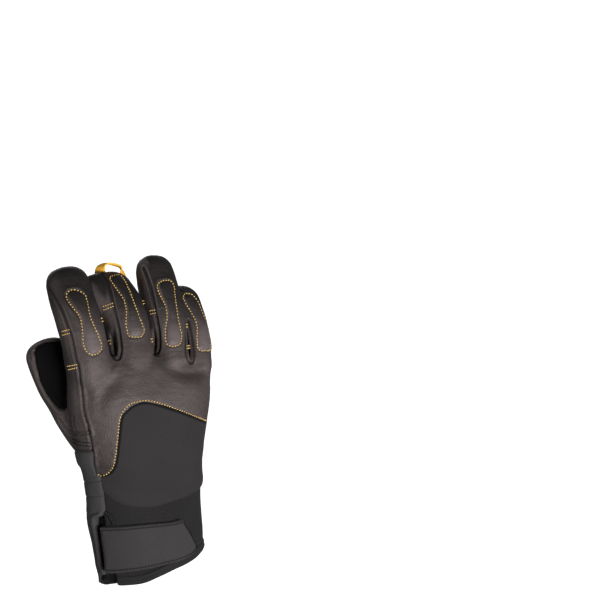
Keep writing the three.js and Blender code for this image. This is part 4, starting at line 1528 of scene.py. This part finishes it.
def cast_row(spots, lift, kind):
    """A row of stitches on the leather under picture points, at a lift."""
    line, ups = cast(hand_tree, spots)
    return (line + ups * lift, ups, *kind)


def gold_rows():
    """Rows of gold stitches: round each pad, along the leather's edge and across the strips. A bar
    whose rays miss the strip or leap to another finger is left out."""
    rows = []
    for ring in pad_rings:
        line, ups = settle(hand_tree, even(ring, 220))
        rows.append((line + ups * GOLD_LIFT, ups, *PAD_STITCH))
    rows.append(cast_row(spline(EDGE_SEAM, 200), GOLD_LIFT, EDGE_STITCH))
    bars = [cast_row(np.linspace(one, other, 8), SEAM_LIFT, BAR_STITCH) for one, other in BARS]
    return rows + [bar for bar in bars if len(bar[0]) > 2 and length_of(bar[0]) < 22]


make_stitches("gold_stitches", gold_rows(), GOLD_RADIUS, thread_finish("gold_thread"))


def make_thumb():
    """The thumb's tube with a sunken soft panel on its back. The panel's edge is a rounded seam;
    inside it the surface sinks, outside it swells a little."""
    rows, columns = THUMB_GRID
    points = digit_surface("thumb", rows, columns)
    quads = grid_faces(rows, columns, True)
    flat = points.reshape(-1, 3)
    spots = to_picture(flat)
    outline = closed_spline(THUMB_PANEL, 160)
    normals = normals_of(flat, quads)
    if (normals * (flat - DIGITS["thumb"].middle_of(flat))).sum() < 0:
        normals = -normals
    facing = (normals * (CAMERA_PLACE - flat)).sum(1) > 0
    seen = np.nonzero(facing)[0]
    line = np.array([
        flat[seen[((spots[seen] - spot) ** 2).sum(1).argmin()]] for spot in outline
    ])
    gap = distance_to(flat, closed(line), 15)
    within = inside(spots, outline) & facing
    signed = np.where(within, gap, -gap)
    lift = groove(gap, *THUMB_GROOVE) + swell(-signed, *THUMB_SWELL)
    lift -= THUMB_SINK * ease(signed, 0, THUMB_SINK_REACH)
    lift += waves(flat, "thumb") + crease_lift(flat, tree_of(flat, quads))
    flat = flat + normals * lift[:, None]
    piece = sheet_object("thumb_skin", close_ends(flat.reshape(rows, columns, 3)), around=True)
    signed = signed.reshape(rows, columns)
    set_attribute(piece, "panel", np.vstack([signed[:1], signed, signed[-1:]]).ravel())
    return piece


def thumb_finish():
    """Leather outside the panel, and dark matt brushed cloth inside it, whose near-black is partly its
    own colour and partly painted shade.
    """
    m = Maker("thumb_leather_and_panel")
    place = m.place()
    grain, patch = m.skin(place)
    fuzz = m.spots(1200.0, 3.0, 0.6, place)
    panel = m.attribute("panel")
    within = m.ramp(panel, -0.3, 0.3)
    seam = m.ramp(panel, -1.5, -0.2) * (1 - m.ramp(panel, 0.2, 1.5))
    # Painted light: the thumb's leather is lighter than the hand's
    color = m.mix(m.ramp(patch, 0.3, 0.7), *THUMB_LIT_TONES)
    color = m.mix(seam * 0.8, color, THUMB_SEAM_BLACK)
    rough = 0.43 + 0.14 * patch + 0.1 * grain
    leather = m.surface(
        color, rough, grain * (1 - within) + fuzz * within, bump=0.22, step=0.0005,
        Specular_IOR_Level=0.35, Specular_Tint=WARM_TINT,
    )
    # Near-black cloth: partly the panel's own colour, partly painted shade
    cloth = m.node("BsdfDiffuse", Color=WIPE_BLACK_AND_SHADE)
    return m.finished(m.node("MixShader", None, 0, **{"0": within, "1": leather, "2": cloth}))


thumb = make_thumb()
dress(thumb, thumb_finish())
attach(thumb, "root")
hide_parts("thumb_leather", "thumb_wipe_panel")


# Wrist panel, cuff, gusset, strap, hem and loops
def wrist_point(level, angle, lift):
    """Points on the wrist, from angles in degrees, with the dents of the back of the hand fading
    out towards its sides."""
    points = hand_surface(level, np.radians(angle), lift)
    x, y, z = points[..., 0], points[..., 1], points[..., 2]
    share = np.clip((hand_size(z)[1] - y) / DENT_FADE, 0, 1)
    return points + PALMWARD * (dent_depth(x, z) * share)[..., None]


def grid_shares(size):
    """Shares from 0 to 1 along a grid's columns, and along its rows."""
    rows, columns = size
    return np.linspace(0, 1, columns)[None, :], np.linspace(0, 1, rows)[:, None]


def bordered_grid(share, rise, guess, low_at, top, near_at, far):
    """Levels and angles of a cloth between a low border read by angle, a flat top, a near border
    read by level, and a far angle. Both borders are read where the last round put the grid, first
    between the guessed angles. Returns both borders too."""
    angle = np.broadcast_to(guess[0] + (guess[1] - guess[0]) * share, (len(rise), share.shape[1]))
    for _ in range(4):
        low = low_at(angle)
        level = low + (top - low) * rise
        near = near_at(level)
        angle = near + (far - near) * share
    return level, angle, low, near


def cloth_waves(level, angle, name):
    """Broad waves over a cloth's grid."""
    points = wrist_point(level, angle, 0.0)
    return waves(points.reshape(-1, 3), name).reshape(level.shape)


def wrist_sheet(name, level, angle, lift, thickness, flip=False):
    """A cloth on the wrist's surface from grids of level, angle in degrees and lift. Its attributes
    measure the way round the cuff and the level."""
    turn = np.radians(np.linspace(-230, 230, 461))
    around = np.interp(np.radians(angle), turn,
                       reach_along(hand_surface(np.full(len(turn), CUFF_MIDDLE), turn)))
    points = wrist_point(level, angle, lift)
    return sheet_object(name, points, thickness=thickness, u=around, v=level, flip=flip)


def hem_level(x, y):
    """The level of the cuff's bottom at x and y: the edge's own line, sheared with y."""
    line = spline(HEM_EDGE, 400)
    return np.interp(x, line[:, 0], line[:, 1]) - HEM_SHEAR * y


def hem_at(angle):
    """The level of the cuff's bottom at angles in degrees, found in a few rounds."""
    level = np.full(np.shape(angle), HEM_GUESS)
    for _ in range(5):
        spot = hand_surface(level, np.radians(angle))
        level = hem_level(spot[..., 0], spot[..., 1])
    return level


def degrees_reach(angle, level):
    """Millimetres to each degree round the wrist at an angle and a level."""
    one = hand_surface(level, np.radians(angle - 1))
    other = hand_surface(level, np.radians(angle + 1))
    return np.linalg.norm(other - one, axis=-1) / 2


def corner_tuck(level, angle):
    """How far the cuff's bottom turns in at the thumb side: an ease down its length and a stronger
    one at its end, times a bell curve round it."""
    down = sum(depth * ease(-level, *levels) for depth, levels in CORNER_STEPS)
    return down * bell(angle - CORNER_ANGLE, CORNER_WIDTH)


def make_wrist_panel():
    """Softshell from its lower arc up under the leather. Its lower edge curls in; it sinks where
    leather or the gusset covers it."""
    share, rise = grid_shares(PANEL_GRID)
    level, angle, low, left = bordered_grid(
        share, rise**1.15, PANEL_GUESS, lambda angle: read_table(PANEL_EDGE, angle), PANEL_TOP,
        lambda level: read_table(GUSSET_FRONT, level) - 3, PANEL_SIDE,
    )
    points = wrist_point(level, angle, 0.0)
    depth = leather_depth(points.reshape(-1, 3)).reshape(level.shape)
    above = level - low
    lift = PANEL_LIFT + fall(above, *PANEL_TURN) + swell(above, *PANEL_SWELL)
    lift = lift - PANEL_SINK * ease(depth, *PANEL_SINKS)
    lift = lift + groove((angle - left) * MM_PER_DEGREE, *PANEL_GROOVE)
    lift = lift + cloth_waves(level, angle, "wrist_panel")
    piece = wrist_sheet("wrist_panel_cloth", level, angle, lift, PANEL_WALL)
    set_attribute(piece, "shade", (-depth / 1.6).ravel())
    return piece


def make_cuff():
    """The ribbed cuff from the slit round the back, the little finger's side and the palm. It sinks
    under the panel, and its edge at the slit turns in."""
    share, rise = grid_shares(CUFF_GRID)
    level, angle, _, left = bordered_grid(
        share, rise, CUFF_GUESS, hem_at, CUFF_TOP,
        lambda level: read_table(CUFF_FRONT, level), GUSSET_REAR + 3,
    )
    arc = read_table(PANEL_EDGE, np.clip(angle, -150, 18))
    lift = CUFF_LIFT - CUFF_SINK * ease(level - arc, *CUFF_SINKS) + cloth_waves(level, angle, "cuff")
    lift = lift + fall((angle - left) * MM_PER_DEGREE, *CUFF_TURN)
    return wrist_sheet("cuff_knit", level, angle, lift, CUFF_WALL)


def make_gusset():
    """Grey cloth down the thumb side, from under the leather to the hem: its front edge is rolled
    along the slit, two seams cross it, and a third follows the rolled edge below the slit's top.
    Each is a swelling, a fall or a groove of the distance from it, added up."""
    share, up = grid_shares(GUSSET_GRID)
    rear = GUSSET_REAR - 360
    level, angle, _, front = bordered_grid(
        share**1.7, up, GUSSET_GUESS, hem_at, GUSSET_TOP,
        lambda level: read_table(GUSSET_FRONT, level), rear,
    )
    inward = (front - angle) * degrees_reach(angle, level)
    outward = (angle - rear) * degrees_reach(angle, level)
    slit = ease(-level, *SLIT_OPENS)
    rise, reach = GUSSET_RISE
    lift = GUSSET_LIFT - GUSSET_SLIT_FALL * slit - fall(inward, rise, reach)
    high, away, wide = GUSSET_ROLL
    lift = lift + swell(inward, high * slit, away, wide)
    closed_turn, slit_turn, reach = GUSSET_FRONT_TURN
    lift = lift + fall(inward, closed_turn + slit_turn * slit, reach)
    lift = lift + fall(outward, *GUSSET_REAR_TURN)
    deep, away, wide = GUSSET_GROOVE
    lift = lift + groove(inward - away, deep * slit, wide) - corner_tuck(level, angle)
    for seam in GUSSET_SEAMS:
        lift = lift + groove(level - seam - GUSSET_SEAM_SLANT * angle, *GUSSET_SEAM_GROOVE)
    side = read_table(SIDE_SEAM, level)
    under_back = ease(angle, side - 2.5, side + 0.5) * ease(level, -166, -163)
    under_thumb = ease(level, THUMB_HEM - 2.5, THUMB_HEM + 0.5)
    lift = lift - GUSSET_BACK_SINK * under_back - GUSSET_THUMB_SINK * under_thumb
    lift = lift + cloth_waves(level, angle, "gusset")
    wind, reach = GUSSET_WIND
    angle = angle + fall(inward, wind * slit, reach)
    return wrist_sheet("gusset_cloth", level, angle, lift, PANEL_WALL)


def make_hem():
    """The bound edge: a closed section of height and lift carried round the cuff, from one side of
    the slit to the other. It waves a little, lies closer at the thumb side and the little finger's
    side, and turns in at the corner."""
    rows, columns = HEM_GRID
    height, rise = closed_spline(HEM_SECTION, columns).T
    angle = np.linspace(*HEM_ENDS, rows)
    level = hem_at(angle)[:, None] + height
    wave = waves(np.column_stack([angle, 0 * angle, 0 * angle]), "hem")
    around = np.broadcast_to(angle[:, None], level.shape)
    wound = np.where(around > 90, around - 360, around)
    lift = rise + wave[:, None] - HEM_CLOSER * ease(-wound, *HEM_THUMB_FADE) - corner_tuck(level, wound)
    near_little = ease(around, *HEM_LITTLE_STARTS) * (1 - ease(around, *HEM_LITTLE_STOPS))
    lift = lift - HEM_CLOSER * near_little
    points = close_ends(wrist_point(level, around, lift))
    piece = sheet_object("hem_cloth", points, around=True)
    set_attribute(piece, "shade", np.broadcast_to(rise + HEM_SHADE, points.shape[:2]).ravel())
    return piece


def strap_grid(across, down):
    """Angle and level on the strap: straight between its top and bottom borders."""
    top = spline(STRAP_TOP, at=np.ravel(across)).reshape(np.shape(across) + (2,))
    bottom = spline(STRAP_BOTTOM, at=np.ravel(across)).reshape(np.shape(across) + (2,))
    place = top + (bottom - top) * np.asarray(down)[..., None]
    return place[..., 0], place[..., 1]


def strap_lift(across, down):
    """The strap's height over the cuff: rounded borders 1 - exp(-d/r), a groove where the stitches
    run, and a soft crown inside."""
    edge = np.minimum.reduce([across * STRAP_LONG, (1 - across) * STRAP_LONG, down * STRAP_TALL,
                              (1 - down) * STRAP_TALL])
    lift = STRAP_BASE + STRAP_RISE * (1 - np.exp(-edge / STRAP_ROUND))
    lift = lift + groove(edge - STRAP_SEAM_INSET, *STRAP_GROOVE)
    return lift + STRAP_CROWN * ease(edge, STRAP_SEAM_INSET, STRAP_CROWN_REACH)


def bunched(count):
    """Shares from 0 to 1 that lie closer at both ends: t - 0.33 sin(2 pi t) / (2 pi)."""
    share = np.linspace(0, 1, count)
    return share - 0.33 * np.sin(2 * np.pi * share) / (2 * np.pi)


def make_strap():
    """The hook-and-loop strap across the back of the cuff."""
    rows, columns = STRAP_GRID
    down, across = np.meshgrid(bunched(rows), bunched(columns), indexing="ij")
    angle, level = strap_grid(across, down)
    lift = strap_lift(across, down) + cloth_waves(level, angle, "strap")
    return wrist_sheet("closure_strap_cloth", level, angle, lift, STRAP_WALL, flip=True)


def turned(vector, axis, angle):
    """A vector turned about an axis by an angle, by Rodrigues' formula."""
    cosine, sine = np.cos(angle)[:, None], np.sin(angle)[:, None]
    dot = (vector * axis).sum(-1, keepdims=True)
    return vector * cosine + np.cross(axis, vector) * sine + axis * dot * (1 - cosine)


def make_loop(name, points, wide, leg_turn, spin=0.0):
    """A tape loop: its width stands across the loop at the top and turns by leg_turn degrees on both
    legs. The whole loop is then turned by spin degrees about the upright axis."""
    line = even(spline(points, 240), 90)
    share = np.linspace(0, 1, len(line))
    along = unit(np.gradient(line, axis=0))
    turn = np.radians(leg_turn) * ease(np.abs(2 * share - 1), 0.25, 0.8)
    way = turned(np.broadcast_to(PALMWARD, line.shape), along, turn)
    tape = close_ends(ribbon_points(line, wide, TAPE_THICK, way))
    cosine, sine = np.cos(np.radians(spin)), np.sin(np.radians(spin))
    tape = tape @ np.array([[cosine, sine, 0], [-sine, cosine, 0], [0, 0, 1]])
    return sheet_object(name, tape, around=True)


def loop_points(left_spread, right_spread, leg):
    """A loop's points from one leg over its turn to the other: shares of the spreads, and levels."""
    left = [(-left_spread * share, 0, z) for share, z in leg]
    right = [(right_spread * share, 0, z) for share, z in leg[-2::-1]]
    return np.array(left + right)


def make_hang_loop():
    """The yellow loop at the middle fingertip."""
    points = loop_points(*HANG_SPREAD, HANG_LEG)
    return make_loop("hang_loop_tape", points, HANG_TAPE_WIDE, HANG_LEG_TURN, HANG_SPIN)


def make_pull_loop():
    """The black loop that hangs from the hem on the palm side."""
    points = loop_points(*PULL_SPREAD, PULL_LEG) + np.array(PULL_LOOP_PLACE)
    return make_loop("pull_loop_tape", points, PULL_TAPE_WIDE, PULL_LEG_TURN)


def make_lining():
    """The dark inside of the glove, hollow into every finger and open at the hem. Its near-black is
    partly the lining's own colour and partly painted shade for the inside.
    """
    points, quads = union_skin("lining_union", *LINING_SKIN, DIGITS)
    pairs, degree = neighbours(quads, len(points))
    points = relax(points, pairs, degree, *LINING_RELAX)
    rim = hem_level(points[:, 0], points[:, 1]) + LINING_RIM
    keep = (points[:, 2] - rim)[quads].max(1) > 0.4
    points[:, 2] = np.maximum(points[:, 2], rim)
    points, quads = used_part(points, quads, keep)
    piece = new_object("lining_and_inner_shade", points, quads)
    set_attribute(piece, "way_u", (points[:, 0] + points[:, 1]) * MM)
    set_attribute(piece, "way_v", points[:, 2] * MM)
    add_wall(piece, LINING_WALL)
    return piece


for make, cloth, slot_name, node in (
    (make_wrist_panel, "softshell", "softshell", "wrist_panel"),
    (make_cuff, "ribbed_knit", "stretch_knit", "stretch_cuff"),
    (make_gusset, "gusset_cloth", "softshell", "side_gusset"),
    (make_hem, "hem_cloth", "binding", "hem_binding"),
    (make_strap, "strap_cloth", "strap_cloth", "closure_strap"),
    (make_hang_loop, "yellow_webbing", "yellow_tape", "hang_loop"),
    (make_pull_loop, "black_webbing", "black_tape", "pull_loop"),
    (make_lining, "lining_and_inner_shade", None, None),
):
    made = make()
    dress(made, cloth_finish(cloth))
    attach(made, "root")
    if node:
        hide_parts(node)


def wrist_row(level, angle, lift, kind):
    """A row of stitches on the wrist through levels and angles, at a lift."""
    points = wrist_point(level, angle, lift)
    ups = unit(points - wrist_point(level, angle, lift - 1.0))
    return (points, ups, *kind)


def strap_row(across, down, kind=STRAP_STITCH):
    """A row of stitches on the strap between shares across and down it."""
    across, down = np.linspace(*across, 80), np.linspace(*down, 80)
    angle, level = strap_grid(across, down)
    return wrist_row(level, angle, strap_lift(across, down) + STRAP_LIFT, kind)


def zigzag_row(line, width):
    """A row of angles and levels turned into a zigzag of the width, in degrees, about the line."""
    line = even(line, max(4, int(length_of(line) / ZIGZAG_STEP)))
    along = unit(np.gradient(line, axis=0))
    side = np.column_stack([-along[:, 1], along[:, 0]])
    sign = np.where(np.arange(len(line)) % 2 == 0, 1.0, -1.0)
    return line + side * (sign * width / 2)[:, None]


def dark_rows():
    """Dark stitches: round the strap, along its slanted end in zigzag, over the slit's top, and
    along the leather's hem on the thumb side."""
    near_across, near_down = STRAP_SEAM_INSET / STRAP_LONG, STRAP_SEAM_INSET / STRAP_TALL
    rows = [
        strap_row((near_across, 1 - near_across), (near_down, near_down)),
        strap_row((near_across, 1 - near_across), (1 - near_down, 1 - near_down)),
        strap_row((near_across, near_across), (near_down, 1 - near_down)),
    ]
    turn = np.arange(STRAP_ZIGZAG_TURNS)
    down = np.linspace(*STRAP_ZIGZAG_SPAN, len(turn))
    across = 1 - np.where(turn % 2 == 0, *STRAP_ZIGZAG) / STRAP_LONG
    for k in turn[:-1]:
        rows.append(strap_row(across[k:k + 2], down[k:k + 2], ZIGZAG_STITCH))
    line = zigzag_row(spline(SLIT_SEAM, 60), SLIT_ZIGZAG)
    for one, other in zip(line[:-1], line[1:]):
        angle, level = np.linspace(one, other, 20).T
        rows.append(wrist_row(level, angle, SLIT_LIFT, ZIGZAG_STITCH))
    for spots in THUMB_HEM_SEAMS:
        rows.append(cast_row(spline(spots, 60), SEAM_LIFT, HEM_STITCH))
    return rows


make_stitches("dark_stitches", dark_rows(), DARK_RADIUS, thread_finish("dark_thread"))


# Stage: a pale floor that sweeps up behind, with its reach in front, its level, the sweep's radius,
# where that starts behind, top and half width
STAGE_FRONT = -3500.0
STAGE_FLOOR = -620.0
STAGE_RADIUS = 900.0
STAGE_BACK = 1300.0
STAGE_TOP = 3200.0
STAGE_SIDE = 4200.0

# Soft lights round the glove's middle: name, azimuth and elevation in degrees, distance and size in
# metres, power in watts
GLOVE_MIDDLE = (20, -20, -130)
LIGHTS = (
    ("front_light", 4, -14, 1.5, 0.7, 41),
    ("right_light", 55, -5, 1.6, 0.8, 7),
    ("left_light", -85, 0, 1.6, 0.7, 8),
    ("back_light", 165, 25, 1.6, 1.2, 8),
)


def make_stage():
    """A floor that turns up into a wall in one quarter circle, carried sideways."""
    turn = np.linspace(0, np.pi / 2, 16)
    curve = np.column_stack([STAGE_BACK + STAGE_RADIUS * np.sin(turn),
                             STAGE_FLOOR + STAGE_RADIUS * (1 - np.cos(turn))])
    profile = np.vstack([(STAGE_FRONT, STAGE_FLOOR), curve,
                         (STAGE_BACK + STAGE_RADIUS, STAGE_TOP)])
    across = np.array([-STAGE_SIDE, STAGE_SIDE])
    points = (profile[:, None, :1] * FORWARD + across[None, :, None] * RIGHT
              + profile[:, None, 1:] * UP)
    piece = sheet_object("floor", points)
    m = Maker("pale_floor")
    dress(piece, m.finished(m.surface(rgb(0.8, 0.8, 0.8), 0.9, Emission_Color=rgb(1, 1, 1),
                                      Emission_Strength=0.95)))
    piece.visible_diffuse = False
    piece.visible_glossy = False


def make_light(name, azimuth, elevation, distance, size, power):
    """A square soft light at an azimuth and elevation from the glove's middle, aimed at it."""
    data = bpy.data.lights.new(name, "AREA")
    data.shape = "SQUARE"
    data.size = size
    data.energy = power
    piece = bpy.data.objects.new(name, data)
    a, e = np.radians(azimuth), np.radians(elevation)
    way = Vector((np.sin(a) * np.cos(e), -np.cos(a) * np.cos(e), np.sin(e)))
    piece.location = Vector(GLOVE_MIDDLE) * MM + way * distance
    piece.rotation_euler = way.to_track_quat("Z", "Y").to_euler()
    piece.visible_camera = False
    bpy.context.scene.collection.objects.link(piece)


def make_world():
    """Faint even light from all round, and colours shown as they are."""
    world = bpy.data.worlds.new("studio")
    world.use_nodes = True
    background = world.node_tree.nodes["Background"]
    background.inputs["Color"].default_value = rgb(1, 1, 1)
    background.inputs["Strength"].default_value = 0.1
    bpy.context.scene.world = world
    bpy.context.scene.view_settings.view_transform = "Standard"


make_stage()
for light in LIGHTS:
    make_light(*light)
make_world()
